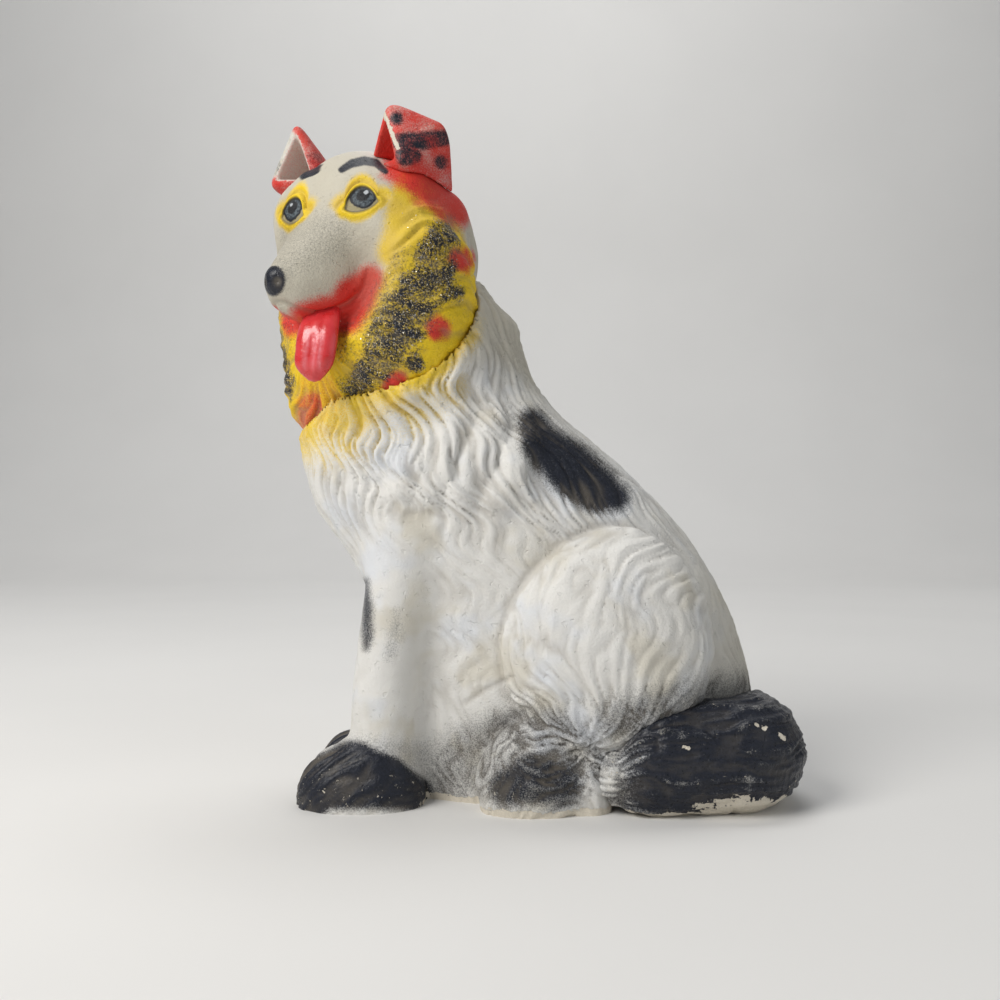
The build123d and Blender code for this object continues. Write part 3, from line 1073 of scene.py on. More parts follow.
def body_skin(sculpt):
    step = sculpt.body_step / MM
    points, quads = net(body, *BODY_BOX, step)
    points = settle(points, body, 2, step)
    relief = body_relief(points, sculpt)
    points = points + outward(points, body) * relief[:, None]
    mesh = plain_mesh("body", points, quads, {"relief": relief})
    form = bmesh.new()
    form.from_mesh(mesh)
    bpy.data.meshes.remove(mesh)
    cut_flat(form, (0, 0, 0), (0, 0, -1))
    cut_flat(form, (0, 0, NECK_RIM), (0, 0, 1))
    add_cavity(form)
    close_flat(form, 2, 0.0, -1)
    close_flat(form, 2, NECK_RIM, 1)
    return form


def smooth_skin(form):
    for item in form.faces:
        item.smooth = item.material_index == 0


# Paint marks and marks of painted shade, as strokes of X, Z and half width on the middle plane as seen from
# the eye point
SADDLE = [
    (3.0, 160.0, 1.0),
    (7.0, 151.0, 4.0),
    (18.5, 141.0, 6.5),
    (31.0, 131.0, 5.0),
    (39.0, 127.5, 1.5),
]
LEG_STREAK = [(-70.5, 90.0, -1.0), (-70.0, 77.6, 0.2), (-69.8, 66.6, 0.2), (-70.4, 61.0, -1.0)]
LEG_SHADE = [(-57.3, 78.0, -1.5), (-57.3, 66.0, 0.6), (-60.5, 56.0, -1.0)]
PAW_BLACK = [
    (-100.0, -8.0, 6.0),
    (-90.0, 2.0, 8.0),
    (-76.0, 5.0, 11.0),
    (-62.0, 2.0, 8.0),
    (-49.0, -3.0, 4.0),
]
PAW_GREY = [(-78.0, 12.0, 5.0), (-45.0, 5.0, 10.0)]
FOOT_BLACK = [(-8.0, 0.0, 3.0), (3.0, 4.0, 6.0), (14.0, 1.0, 5.0)]
BELLY_CRACK = [(-26.5, 36.7, 0.0), (-18.5, 42.4, 0.1), (-7.1, 47.7, 0.0)]
FOOT_GREY = [
    (-38.0, -2.0, 6.0),
    (-25.0, 11.0, 9.0),
    (-7.0, 19.0, 9.0),
    (10.5, 20.0, 8.0),
    (24.0, 10.0, 5.0),
]
HAUNCH_SLASH = [(-4.0, 36.0, 2.0), (14.0, 28.0, 4.0), (40.0, 31.0, 3.0)]
TAIL_CHIPS = [
    [(101.0, 27.4, 0.0), (105.0, 25.6, 0.3)],
    [(111.6, 23.0, 0.2), (113.4, 21.2, 0.3)],
    [(69.0, 17.6, 0.0), (71.5, 16.9, 0.1)],
]
TAIL_BARE = [(76.0, -10.0, 1.0), (94.0, -8.5, 3.0), (111.0, -9.5, 2.5)]
RUMP_SHADE = [(41.3, 30.0, 2.0), (76.5, 36.0, 4.0), (102.9, 39.0, 6.0)]
BIB_YELLOW = [
    (-91.6, 149.0, 3.0),
    (-84.1, 156.0, 7.0),
    (-70.9, 163.0, 9.0),
    (-55.5, 168.5, 9.0),
    (-40.1, 174.0, 5.0),
]
BIB_ORANGE = [(-88.0, 176.0, 3.0), (-84.0, 166.0, 4.0), (-88.0, 158.0, 3.0)]
BROW_BLACK = [
    (-81.2, 271.2, 0.6),
    (-76.6, 274.0, 1.1),
    (-71.0, 275.2, 1.2),
    (-66.1, 274.3, 1.0),
    (-61.9, 270.5, 0.5),
]
MUZZLE_GREY = [(-87.2, 242.2, 6.0), (-99.1, 236.0, 5.0), (-105.2, 231.6, 3.0)]
MOUTH_RED = [
    (-69.0, 223.0, 1.0),
    (-75.0, 215.5, 4.0),
    (-80.0, 208.0, 4.0),
    (-88.0, 208.0, 2.5),
    (-97.5, 206.5, 1.0),
]
CHEEK_YELLOW = [(-48.5, 263.5, 4.2), (-51.4, 255.1, 4.9), (-52.8, 244.6, 4.2), (-56.3, 235.5, 3.5)]
FACE_PATCH = [(-72.0, 262.0, 17.0), (-73.0, 245.0, 12.5), (-78.0, 230.0, 10.0)]
CHEEK_SHADE = [(-50.0, 250.0, 2.5), (-56.0, 240.0, 4.0), (-61.0, 230.0, 4.0), (-66.0, 215.0, 4.0)]
# Painted shade, with some dirt, on the backs of the cheeks towards the ruff
FACE_GREY = [(-58.0, 252.0, 4.0), (-62.0, 240.0, 5.0), (-70.0, 232.0, 5.0)]
EAR_RED = [(-54.2, 272.7, 4.5), (-44.3, 267.7, 5.0), (-37.3, 260.7, 4.5), (-30.3, 253.7, 3.0)]
RUFF_BLACK = [
    (-37.3, 243.2, 3.0),
    (-38.7, 233.4, 5.5),
    (-42.2, 223.5, 7.0),
    (-48.5, 213.0, 8.0),
    (-56.2, 203.9, 7.5),
    (-61.9, 196.2, 6.0),
    (-65.2, 185.4, 4.5),
    (-73.1, 177.5, 3.5),
]
RUFF_SPECKS = [(-51.1, 231.6, 5.0), (-58.6, 219.6, 6.0), (-72.1, 204.6, 6.0), (-78.1, 192.7, 5.0)]
RUFF_RED = [(-28.7, 231.6, 2.6), (-39.7, 201.7, 2.8), (-57.3, 176.6, 2.8)]
RUFF_BLOTS = [
    (-37.5, 240.0, 3.0),
    (-39.2, 225.0, 3.5),
    (-31.5, 218.0, 2.5),
    (-47.5, 214.0, 3.5),
    (-53.0, 201.0, 3.0),
    (-50.2, 187.5, 3.0),
    (-74.0, 176.0, 3.5),
]
FAR_RUFF_RED = [(-93.8, 167.4, 4.0), (-95.3, 159.9, 3.0)]
EAR_BLACK = [
    [(-57.0, 293.7, 1.4)],
    [(-56.2, 283.9, 2.0), (-45.0, 284.0, 2.4), (-35.2, 285.3, 2.0)],
    [(-53.5, 277.5, 3.0), (-50.0, 277.0, 2.5)],
    [(-37.3, 274.7, 1.6)],
]
FAR_EAR_WORN = [(-103.5, 286.0, 0.8), (-107.0, 279.0, 2.5), (-109.0, 271.0, 2.0)]
EAR_EDGE = [(-62.6, 296.5, 0.4), (-56.6, 281.0, 0.5)]


# Second tones that the paints are clouded with
WARM_WHITE = (0.62, 0.57, 0.45, 1.0)
COOL_WHITE = (0.68, 0.73, 0.82, 1.0)
DEEP_YELLOW = (0.72, 0.42, 0.015, 1.0)
PALE_RED = (0.72, 0.09, 0.06, 1.0)
BLUE_BLACK = (0.03, 0.035, 0.055, 1.0)
GREY_SAND = (0.17, 0.18, 0.23, 1.0)
GOLD_SAND = (0.42, 0.31, 0.1, 1.0)
EYEBALL = (0.34, 0.29, 0.16, 1.0)
EYE_RING = (0.012, 0.014, 0.02, 1.0)
IRIS_DARK = (0.012, 0.018, 0.026, 1.0)
IRIS_PALE = (0.13, 0.16, 0.18, 1.0)
PUPIL = (0.01, 0.011, 0.014, 1.0)
PAINTED_GLINT = (0.5, 0.53, 0.56, 1.0)
LID_LINE_AND_SHADOW = (0.03, 0.03, 0.03, 1.0)
TONGUE_RED = (0.62, 0.02, 0.02, 1.0)
TONGUE_PINK = (0.74, 0.05, 0.06, 1.0)
TONGUE_HIGHLIGHT = (0.85, 0.36, 0.42, 1.0)
TONGUE_SHADE = (0.3, 0.008, 0.01, 1.0)
SILVER_FLAKE = (0.9, 0.86, 0.75, 1.0)
GOLD_FLAKE = (0.9, 0.66, 0.2, 1.0)


class FigurePaint(bpy.types.PropertyGroup):
    """Colours of the paint and the plaster."""

    white: FloatVectorProperty(
        name="White coat",
        description="Paint of the body",
        subtype="COLOR",
        default=(0.79, 0.78, 0.75),
    )
    tan_grey: FloatVectorProperty(
        name="Aged white",
        description="Greyed white of the face",
        subtype="COLOR",
        default=(0.56, 0.52, 0.42),
    )
    yellow: FloatVectorProperty(
        name="Yellow",
        description="Sprayed yellow of the ruff",
        subtype="COLOR",
        default=(0.86, 0.61, 0.018),
    )
    red: FloatVectorProperty(
        name="Red",
        description="Sprayed red of the ears and the mouth",
        subtype="COLOR",
        default=(0.66, 0.035, 0.025),
    )
    black: FloatVectorProperty(
        name="Black",
        description="Sprayed black of the paws and the tail",
        subtype="COLOR",
        default=(0.012, 0.014, 0.02),
    )
    plaster: FloatVectorProperty(
        name="Bare plaster",
        description="Plaster where no paint is",
        subtype="COLOR",
        default=(0.74, 0.68, 0.57),
    )
    # Colour of the dirt, and of the painted shade in the valleys of the hair
    dirt_and_shade: FloatVectorProperty(
        name="Dirt",
        description="Dirt that lies in the valleys",
        subtype="COLOR",
        default=(0.28, 0.24, 0.18),
    )


def feed(tree, socket, value):
    """Link a socket to another one, or set its own value."""
    if isinstance(value, bpy.types.NodeSocket):
        tree.links.new(value, socket)
    else:
        socket.default_value = value


def add_node(tree, kind, inputs, settings):
    """New node with its settings, and its inputs linked or set."""
    made = tree.nodes.new(kind)
    for key, value in settings.items():
        setattr(made, key, value)
    for key, value in dict(inputs).items():
        feed(tree, made.inputs[key], value)
    return made


class Finish:
    """Node tree of one material, with short calls for its nodes."""

    def __init__(self, name):
        self.material = bpy.data.materials.new(name)
        self.material.use_nodes = True
        self.tree = self.material.node_tree
        self.shader = self.tree.nodes["Principled BSDF"]
        self.place = self.node("ShaderNodeTexCoord").outputs["Object"]

    def node(self, kind, inputs=(), **settings):
        return add_node(self.tree, kind, inputs, settings)

    def feed(self, socket, value):
        feed(self.tree, socket, value)

    def math(self, operation, one, two=0.0):
        made = self.node("ShaderNodeMath", {0: one, 1: two}, operation=operation, use_clamp=False)
        return made.outputs[0]

    def smooth(self, value, low, high):
        """0 below low, 1 above high, smooth between."""
        inputs = {"Value": value, "From Min": low, "From Max": high}
        return self.node("ShaderNodeMapRange", inputs, interpolation_type="SMOOTHSTEP").outputs["Result"]

    def mix(self, share, one, two):
        made = self.node("ShaderNodeMix", data_type="RGBA", blend_type="MIX", clamp_factor=True)
        colours = [s for s in made.inputs if s.type == "RGBA"]
        self.feed(made.inputs[0], share)
        for socket, value in zip(colours, (one, two)):
            self.feed(socket, value)
        return next(s for s in made.outputs if s.type == "RGBA")

    def blend(self, share, one, two):
        made = self.node("ShaderNodeMix", {0: share, 2: one, 3: two}, data_type="FLOAT", clamp_factor=True)
        return made.outputs[0]

    def grain(self, size, detail=2.0, rough=0.5):
        """Random grain whose grains are about size across, in metres, spread from 0 to 1."""
        inputs = {"Vector": self.place, "Scale": 0.8 / size, "Detail": detail, "Roughness": rough}
        return self.smooth(self.node("ShaderNodeTexNoise", inputs).outputs["Fac"], 0.25, 0.75)

    def parts(self, key):
        """Numbers of a colour attribute: red, green, blue and alpha."""
        read = self.node("ShaderNodeAttribute", attribute_name=key)
        split = self.node("ShaderNodeSeparateColor", {"Color": read.outputs["Color"]})
        return [*split.outputs, read.outputs["Alpha"]]

    def sprayed(self, cover, grain, soft, reach=0.7):
        """Sharp or soft spray: where the cover of a stroke beats the grain."""
        edge = self.math("MULTIPLY", soft, 2.0)
        gained = self.math("MULTIPLY", cover, self.math("ADD", edge, reach))
        less = self.math("SUBTRACT", gained, self.math("MULTIPLY", grain, reach))
        return self.smooth(less, 0.0, edge)

    def bump(self, heights):
        """Bump from pairs of a height and its depth in metres."""
        normal = None
        for height, depth in heights:
            made = self.node("ShaderNodeBump", {"Height": height, "Distance": depth, "Strength": 1.0})
            if normal:
                self.feed(made.inputs["Normal"], normal)
            normal = made.outputs["Normal"]
        self.feed(self.shader.inputs["Normal"], normal)


def opaque(colour, share=1.0):
    """A colour, or a darker share of it, with its alpha."""
    return (*(share * part for part in colour), 1.0)


def painted_plaster(name, paint, eyes=False):
    """Sprayed paint over a plaster casting, worn and dusty, with painted shade in its valleys, from the
    piece's own paint values.
    """
    f = Finish(name)
    yellow, red, black, tan_grey = f.parts("paint")
    dirt_and_shade, bare, coarse, gloss = f.parts("wear_and_shade")
    fine_grain = f.grain(0.45 * MM, 2.0)
    coarse_grain = f.grain(0.95 * MM, 3.0, 0.7)
    cloud = f.grain(14.0 * MM, 3.0)
    grain = f.blend(coarse, fine_grain, coarse_grain)
    white = f.mix(f.math("MULTIPLY", cloud, 0.5), opaque(paint.white), opaque(paint.white, 0.93))
    warm = f.smooth(f.grain(24.0 * MM, 3.0, 0.6), 0.5, 0.95)
    white = f.mix(f.math("MULTIPLY", warm, 0.55), white, WARM_WHITE)
    cool = f.smooth(f.grain(31.0 * MM, 3.0, 0.6), 0.55, 0.95)
    white = f.mix(f.math("MULTIPLY", cool, 0.5), white, COOL_WHITE)
    colour = f.mix(tan_grey, white, opaque(paint.tan_grey))
    yellow_paint = f.mix(f.math("MULTIPLY", cloud, 0.35), opaque(paint.yellow), DEEP_YELLOW)
    colour = f.mix(f.sprayed(yellow, fine_grain, 0.55, 0.3), colour, yellow_paint)
    red_paint = f.mix(f.math("MULTIPLY", cloud, 0.5), opaque(paint.red), PALE_RED)
    colour = f.mix(f.sprayed(red, fine_grain, 0.5, 0.35), colour, red_paint)
    cover = f.sprayed(black, grain, f.blend(coarse, 0.55, 0.12), f.blend(coarse, 0.35, 0.7))
    blue = f.mix(f.math("MULTIPLY", coarse_grain, 0.5), opaque(paint.black), BLUE_BLACK)
    sand = f.math("MULTIPLY", f.smooth(f.grain(0.55 * MM, 1.0), 0.7, 0.9), f.smooth(coarse, 0.55, 0.64))
    blue = f.mix(sand, blue, f.mix(f.grain(2.5 * MM, 2.0), GREY_SAND, GOLD_SAND))
    colour = f.mix(cover, colour, blue)
    # Dirt, and painted shade in the valleys, darken the colour towards the dirt colour
    dust_and_shade = f.math("MULTIPLY", dirt_and_shade, f.blend(cloud, 0.35, 0.8))
    colour = f.mix(dust_and_shade, colour, f.mix(0.55, colour, opaque(paint.dirt_and_shade)))
    if eyes:
        colour = eye_colours(f, colour)
    chips = f.sprayed(bare, f.grain(1.6 * MM, 3.0, 0.6), 0.05)
    speckle = f.math("MULTIPLY", fine_grain, 0.6)
    plaster = f.mix(speckle, opaque(paint.plaster), opaque(paint.plaster, 0.8))
    colour = f.mix(chips, colour, plaster)
    f.feed(f.shader.inputs["Base Color"], colour)
    rough = f.blend(cover, 0.55, f.blend(coarse_grain, 0.3, 0.5))
    rough = f.blend(gloss, rough, 0.22)
    f.feed(f.shader.inputs["Roughness"], f.blend(chips, rough, 0.85))
    f.shader.inputs["Specular IOR Level"].default_value = 0.28
    pits = f.smooth(f.grain(2.2 * MM, 1.0), 0.08, 0.0)
    rubble = f.grain(0.8 * MM, 3.0, 0.6)
    f.bump([(rubble, 0.11 * MM), (pits, -0.2 * MM), (chips, -0.2 * MM), (cover, 0.04 * MM)])
    return f.material


def eye_colours(f, colour):
    """Iris, pupil and rim of the painted eyes, with a painted highlight as their glint and painted shadow
    under the upper lids, from the eye's own flat axes.
    """
    read = f.node("ShaderNodeAttribute", attribute_name="eye")
    split = f.node("ShaderNodeSeparateXYZ", {"Vector": read.outputs["Vector"]})
    across, up, gap = split.outputs
    wobble = f.math("MULTIPLY", f.grain(2.0 * MM, 2.0), 0.7)

    def disc(x, y, radius, soft, squash=1.0):
        far = f.math("MULTIPLY", f.math("SUBTRACT", up, y), squash)
        side = f.math("SUBTRACT", across, x)
        square = f.math("ADD", f.math("MULTIPLY", far, far), f.math("MULTIPLY", side, side))
        reach = f.math("ADD", f.math("SQRT", square), wobble)
        return f.smooth(reach, radius + soft, radius)

    opening = f.smooth(gap, -0.25, 0.25)
    ball_colour = f.mix(disc(0.2, 0.9, 5.6, 0.6), EYEBALL, EYE_RING)
    streaks = f.mix(f.grain(0.8 * MM, 2.0), IRIS_DARK, IRIS_PALE)
    ball_colour = f.mix(disc(0.2, 0.9, 4.4, 0.9), ball_colour, streaks)
    ball_colour = f.mix(disc(0.4, 1.2, 2.7, 0.9), ball_colour, PUPIL)
    # Painted highlight: a pale glint on the pupil
    ball_colour = f.mix(disc(1.5, 2.4, 0.9, 0.7), ball_colour, PAINTED_GLINT)
    # Dark painted line round the opening, heavier under the upper lid as painted shadow
    rim = f.math("MULTIPLY", f.smooth(gap, -1.4, -0.2), f.smooth(gap, 1.0, 0.1))
    rim = f.math("MULTIPLY", rim, f.blend(f.smooth(up, -2.5, 1.0), 0.5, 0.95))
    colour = f.mix(opening, colour, ball_colour)
    return f.mix(rim, colour, LID_LINE_AND_SHADOW)


def raw_plaster(name, paint):
    """Unpainted plaster of the inside and the cut rims."""
    f = Finish(name)
    cloud = f.grain(9.0 * MM, 4.0)
    colour = f.mix(cloud, opaque(paint.plaster), opaque(paint.plaster, 0.82))
    stain = f.smooth(f.grain(22.0 * MM, 2.0), 0.55, 0.9)
    colour = f.mix(f.math("MULTIPLY", stain, 0.4), colour, opaque(paint.dirt_and_shade))
    f.feed(f.shader.inputs["Base Color"], colour)
    f.feed(f.shader.inputs["Roughness"], f.blend(cloud, 0.8, 0.95))
    pits = f.smooth(f.grain(2.6 * MM, 1.0), 0.12, 0.0)
    f.bump([(f.grain(1.2 * MM, 4.0), 0.12 * MM), (pits, -0.4 * MM)])
    return f.material


def tongue_paint(name, _):
    """Glossy red with pale streaks of painted highlight along its ripples, and painted shade on its sides
    and back.
    """
    f = Finish(name)
    highlight_streak, edge, _, _ = f.parts("paint")
    cloud = f.grain(5.0 * MM, 3.0)
    colour = f.mix(cloud, TONGUE_RED, TONGUE_PINK)
    # Painted highlight: pale streaks over the red
    highlight_cover = f.math("MULTIPLY", highlight_streak, f.blend(f.grain(1.5 * MM, 3.0), 0.35, 0.9))
    colour = f.mix(highlight_cover, colour, TONGUE_HIGHLIGHT)
    # Painted shade on the tongue's sides and back
    colour = f.mix(edge, colour, TONGUE_SHADE)
    f.feed(f.shader.inputs["Base Color"], colour)
    f.feed(f.shader.inputs["Roughness"], f.blend(cloud, 0.22, 0.36))
    f.shader.inputs["Coat Weight"].default_value = 0.4
    f.shader.inputs["Coat Roughness"].default_value = 0.12
    f.bump([(f.grain(0.9 * MM, 2.0), 0.05 * MM)])
    return f.material


def finish(name, maker, *extra):
    """The named material, made when it is first asked for."""
    return bpy.data.materials.get(name) or maker(name, bpy.context.scene.figure_paint, *extra)


def ragged(points, size, seed):
    """Random value from 0 to 1 for uneven edges of paint."""
    rough = noise(points / size, seed) + 0.4 * noise(points / (0.4 * size), seed + 1)
    return 0.5 + 0.5 * np.clip(rough, -1.0, 1.0)


def paint_body(mesh):
    """Paint values of a half shell, from where its points are and how its hair lies."""
    points = mesh_points(mesh)
    relief = mesh_values(mesh, "relief")
    z = points[:, 2]
    left = to_left(points)
    flat = seen(left)
    uneven = ragged(points, 9.0, 81)
    valley = ease(relief, 0.15, -0.75)
    reach = 9.0 + 13.0 * ease(points[:, 0], -42.0, -75.0)
    hem = ease(head_skin(points), reach, 2.0) * ease(z, 212.0, 186.0)
    yellow = spray(flat, BIB_YELLOW, 19.0) * (0.25 + 0.15 * uneven + 0.35 * valley)
    yellow = np.maximum(yellow, hem * (0.6 + 0.25 * uneven + 0.15 * valley))
    red = 0.2 * spray(flat, BIB_ORANGE, 6.0)
    far_paw = ease(points[:, 1], 4.0, 12.0) * ease(points[:, 0], -58.0, -70.0) * ease(z, 42.0, 30.0)
    # Several covers below are heavier in the valleys of the hair and lighter on its crests
    hair_grey = 0.42 + 0.2 * valley + 0.1 * uneven - 0.08 * ease(relief, 0.1, 0.9)
    marks = [
        far_paw,
        spray(flat, SADDLE, 12.0) * (0.88 + 0.3 * valley),
        0.75 * spray(flat, LEG_STREAK, 6.5) * (0.8 + 0.2 * uneven),
        0.42 * spray(flat, LEG_SHADE, 9.0) * (0.6 + 0.4 * uneven),
        spray(flat, PAW_BLACK, 9.0) * (1.0 - 0.35 * ease(relief, 0.0, 0.7) * uneven),
        0.4 * spray(flat, PAW_GREY, 15.0),
        spray(flat, FOOT_BLACK, 15.0) * (0.8 + 0.1 * valley - 0.12 * ease(relief, 0.0, 0.8)),
        spray(flat, FOOT_GREY, 20.0) * hair_grey,
        spray(flat, HAUNCH_SLASH, 15.0) * (0.15 + 0.3 * valley),
        spray(flat, RUMP_SHADE, 20.0) * (0.5 + 0.2 * valley),
    ]
    black = np.maximum.reduce(marks)
    rim = ease(z, 2.6 + 2.2 * uneven, 0.8 + 2.2 * uneven) * ease(left[:, 0], -48.0, -38.0)
    # Greyer, warmer white towards the rump, over the top of the neck, and at random
    tan_grey = 0.55 * ease(points[:, 0], 45.0, 95.0) * ease(z, 20.0, 50.0) + 0.14 * ragged(points, 30.0, 83)
    tan_grey = np.maximum(tan_grey, 0.85 * ease(z + 0.5 * points[:, 0], 160.0, 185.0))
    toe_wear = 0.13 * ease(black, 0.4, 0.9) * ease(z, 30.0, 4.0)
    set_colour(mesh, "paint", (yellow, red, black, tan_grey))
    # Painted shade, with dirt, in the valleys of the hair, and dirt in the belly's crack
    dirt_and_shade = np.maximum(0.95 * valley, 0.9 * spray(flat, BELLY_CRACK, 2.2))
    set_colour(mesh, "wear_and_shade", (dirt_and_shade, np.maximum(rim, toe_wear), 0.2, 0.25 * black))


def ruff_band(flat, wander, uneven, crest, ruff_part):
    """Cover of the black band down the ruff, with the specks and blots beside it."""
    strayed = flat + 3.0 * wander
    band = spray(strayed, RUFF_BLACK, 10.0) * (0.4 + 0.4 * uneven + 0.1 * crest)
    band = np.maximum(band, ruff_part * spray(flat, RUFF_SPECKS, 8.0) * (0.28 + 0.15 * uneven))
    for spot in RUFF_BLOTS:
        band = np.maximum(band, spray(strayed, [spot], 7.5) * (0.55 + 0.2 * crest))
    return band


def paint_head(mesh):
    """Paint values of the face and the ruff."""
    points = mesh_points(mesh)
    relief = mesh_values(mesh, "relief")
    head = in_head(points)
    flat = seen(cheek_to_left(points))
    uneven = ragged(points, 8.0, 85)
    valley = ease(relief, 0.1, -0.8)
    ruff_part = ruff_share(points)
    eye = eye_places(points)
    gap = eye_gap(eye)
    crest = ease(relief, -0.3, 0.8)
    wander = np.stack([noise(points / 7.0, 97), noise(points / 7.0, 98)], 1)
    facing = mesh_normals(mesh)
    behind = ease(facing @ HEAD_AXES[:, 0], -0.25, -0.6) * ease(facing[:, 1], -0.05, 0.3)
    hem = ease(points[:, 2], 148.0, 172.0)
    yellow = ruff_part * (0.85 + 0.15 * uneven) * (0.5 + 0.5 * hem) * (1.0 - bald(points))
    yellow = np.maximum(yellow, 0.95 * spray(flat, CHEEK_YELLOW, 11.0))
    above = ease(eye[:, 1], -5.0, 3.0)
    eye_ring = ease(gap, -6.0 - 6.5 * above, -1.5 - 2.0 * above) * ease(np.abs(eye[:, 2]), 15.0, 10.0)
    yellow = np.maximum(yellow, eye_ring)
    ear_root = spray(flat + 2.0 * wander, EAR_RED, 11.0) * (0.72 + 0.25 * uneven)
    red = np.maximum(0.95 * spray(flat, MOUTH_RED, 11.0), ear_root)
    for spot in RUFF_RED:
        spotted = spray(flat + 2.0 * wander, [spot], 6.5) * (0.85 + 0.15 * crest)
        red = np.maximum(red, 0.95 * spotted * (1.0 - behind))
    red = np.maximum(red, 0.35 * spray(flat, BIB_ORANGE, 6.0))
    far_red = spray(seen(points), FAR_RUFF_RED, 7.0) * (head[:, 1] < 0.0)
    red = np.maximum(red, far_red * (0.5 + 0.3 * uneven))
    band = ruff_band(flat, wander, uneven, crest, ruff_part) * (1.0 - 0.85 * behind)
    brow = 0.9 * spray(flat, BROW_BLACK, 1.7)
    nose = ease(egg(head, NOSE_PAD_CENTRE, NOSE_PAD_HALF), 2.0, -0.7)
    specks = (0.08 + 0.09 * ease(head[:, 0], 20.0, 50.0)) * (1.0 - ruff_part)
    grey = 0.36 * spray(flat, MUZZLE_GREY, 15.0)
    over = ruff_part * (0.16 + 0.1 * uneven) * hem * (1.0 - bald(points))
    black = np.maximum.reduce([band, brow, nose, specks, grey, over])
    skin = np.maximum(1.0 - ruff_part, bald(points)) * ease(head[:, 0], -8.0, 12.0)
    coarse = np.where(band > np.maximum(brow, nose), 0.65, 0.15)
    # Painted shade, with dirt, in the valleys, on the backs of the cheeks and between the cheeks and the
    # ruff
    shaded = np.maximum(0.9 * valley, 0.8 * skin * spray(flat, FACE_GREY, 12.0) * (0.5 + 0.5 * uneven))
    shaded = np.maximum(shaded, 0.85 * spray(flat, CHEEK_SHADE, 8.0) * (0.6 + 0.4 * uneven))
    nape = ease(points[:, 0], -48.0, -34.0) * (1.0 - ruff_part)
    set_colour(mesh, "paint", (yellow, red, black, np.maximum(0.8 * skin + 0.15, 0.95 * nape)))
    set_colour(mesh, "wear_and_shade", (shaded, 0.0, coarse, np.maximum(0.8 * nose, 0.15 * skin)))
    glitter = ruff_part * (1.0 - bald(points)) * np.maximum(ease(band, 0.25, 0.7), 0.1)
    set_values(mesh, "glitter", glitter)
    set_vectors(mesh, "eye", (eye[:, 0], eye[:, 1], gap - 20.0 * ease(np.abs(eye[:, 2]), 9.0, 12.0)))


def paint_ear(mesh, flip):
    """Paint values of an ear: red outside, black specks on the flap, pale in the fold."""
    points = mesh_points(mesh)
    flat = seen(points if flip > 0 else cheek_to_left(points))
    inside = ease(bounded(in_head(points), ear_scoop(flip), 1.0), 1.2, 0.2)
    uneven = ragged(points, 7.0, 87)
    black = np.maximum.reduce([0.85 * spray(flat, path, 4.0) * (0.6 + 0.4 * uneven) for path in EAR_BLACK])
    black = black * (1.0 - inside)
    red = 0.9 - 0.35 * uneven * (1.0 - inside)
    bare = 0.9 * spray(flat, EAR_EDGE, 0.8)
    if flip < 0:
        worn = spray(seen(points), FAR_EAR_WORN, 3.0) * (1.0 - inside)
        red = np.where(inside > 0.5, 0.3, red - 0.6 * worn)
        black = 0.6 * black
        bare = 0.45 * worn * uneven
    set_colour(mesh, "paint", (0.0, red, black, 0.5))
    set_colour(mesh, "wear_and_shade", (0.0, bare, 0.5, 0.3))


def paint_tail(mesh):
    points = mesh_points(mesh)
    relief = mesh_values(mesh, "relief")
    z = points[:, 2]
    uneven = ragged(points, 9.0, 89)
    rear = ease(points[:, 0], 66.0, 84.0)
    edge = 0.5 + 1.5 * uneven + rear * 6.0 * uneven
    bare = np.maximum(ease(z, edge + 2.5, edge), 0.26 * ease(relief, 0.1, 0.9) * ragged(points, 14.0, 99))
    flat = seen(points)
    for chip in TAIL_CHIPS:
        bare = np.maximum(bare, spray(flat, chip, 1.3) * (0.45 + 0.55 * ragged(points, 2.5, 101)))
    chipped = spray(flat, TAIL_BARE, 3.5) * (0.35 + 0.65 * ragged(points, 6.0, 103))
    bare = np.maximum(bare, chipped)
    tip = ease(points[:, 0] + 8.0 * uneven, 58.0, 30.0)
    worn = 0.42 * ragged(points, 6.0, 95) * ease(relief, -0.2, 0.8)
    set_colour(mesh, "paint", (0.0, 0.0, 1.0 - tip * (0.3 + 0.4 * uneven) - worn, 0.2))
    # Painted shade, with dirt, in the valleys of the tail's hair
    set_colour(mesh, "wear_and_shade", (0.3 * ease(relief, 0.1, -0.6), bare, 0.35, 0.5))


def dressed(piece, node):
    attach(piece, "root")
    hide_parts(node)


def skin_piece(name, field, box, step, relief, chosen=None):
    """Mesh of a field's surface with its relief, in the figure's millimetres."""
    points, faces = net(field, *box, step)
    points = settle(points, field, 2, step)
    if chosen:
        points, faces = finer(points, faces, chosen)
        points = settle(points, field, 2, step)
    height = relief(points)
    points = points + outward(points, field) * height[:, None]
    mesh = plain_mesh(name, points, faces, {"relief": height})
    mesh.shade_smooth()
    return mesh


class FIGURE_OT_body(bpy.types.Operator):
    """Two half shells of the body, with their hair and paint"""

    bl_idname = "figure.body"
    bl_label = "Body halves"

    def execute(self, context):
        whole = body_skin(context.scene.figure_sculpt)
        coats = [finish("body_paint", painted_plaster), finish("raw_plaster", raw_plaster)]
        for node, side in (("body_left_half", -1), ("body_right_half", 1)):
            half = whole.copy()
            cut_flat(half, (0, 0, 0), (0, -side, 0))
            close_flat(half, 1, 0.0, -side)
            smooth_skin(half)
            mesh = bpy.data.meshes.new(node + "_skin")
            half.to_mesh(mesh)
            half.free()
            paint_body(mesh)
            dressed(placed(node + "_skin", mesh, coats), node)
        whole.free()
        return {"FINISHED"}


class FIGURE_OT_head(bpy.types.Operator):
    """Head with its muzzle, ruff and nape"""

    bl_idname = "figure.head"
    bl_label = "Head"

    def execute(self, context):
        step = context.scene.figure_sculpt.head_step / MM
        mesh = skin_piece("head_skin", head, HEAD_BOX, step, head_relief, face_detail)
        paint_head(mesh)
        coats = [finish("head_paint", painted_plaster, True)]
        dressed(placed("head_skin", mesh, coats), "head")
        return {"FINISHED"}


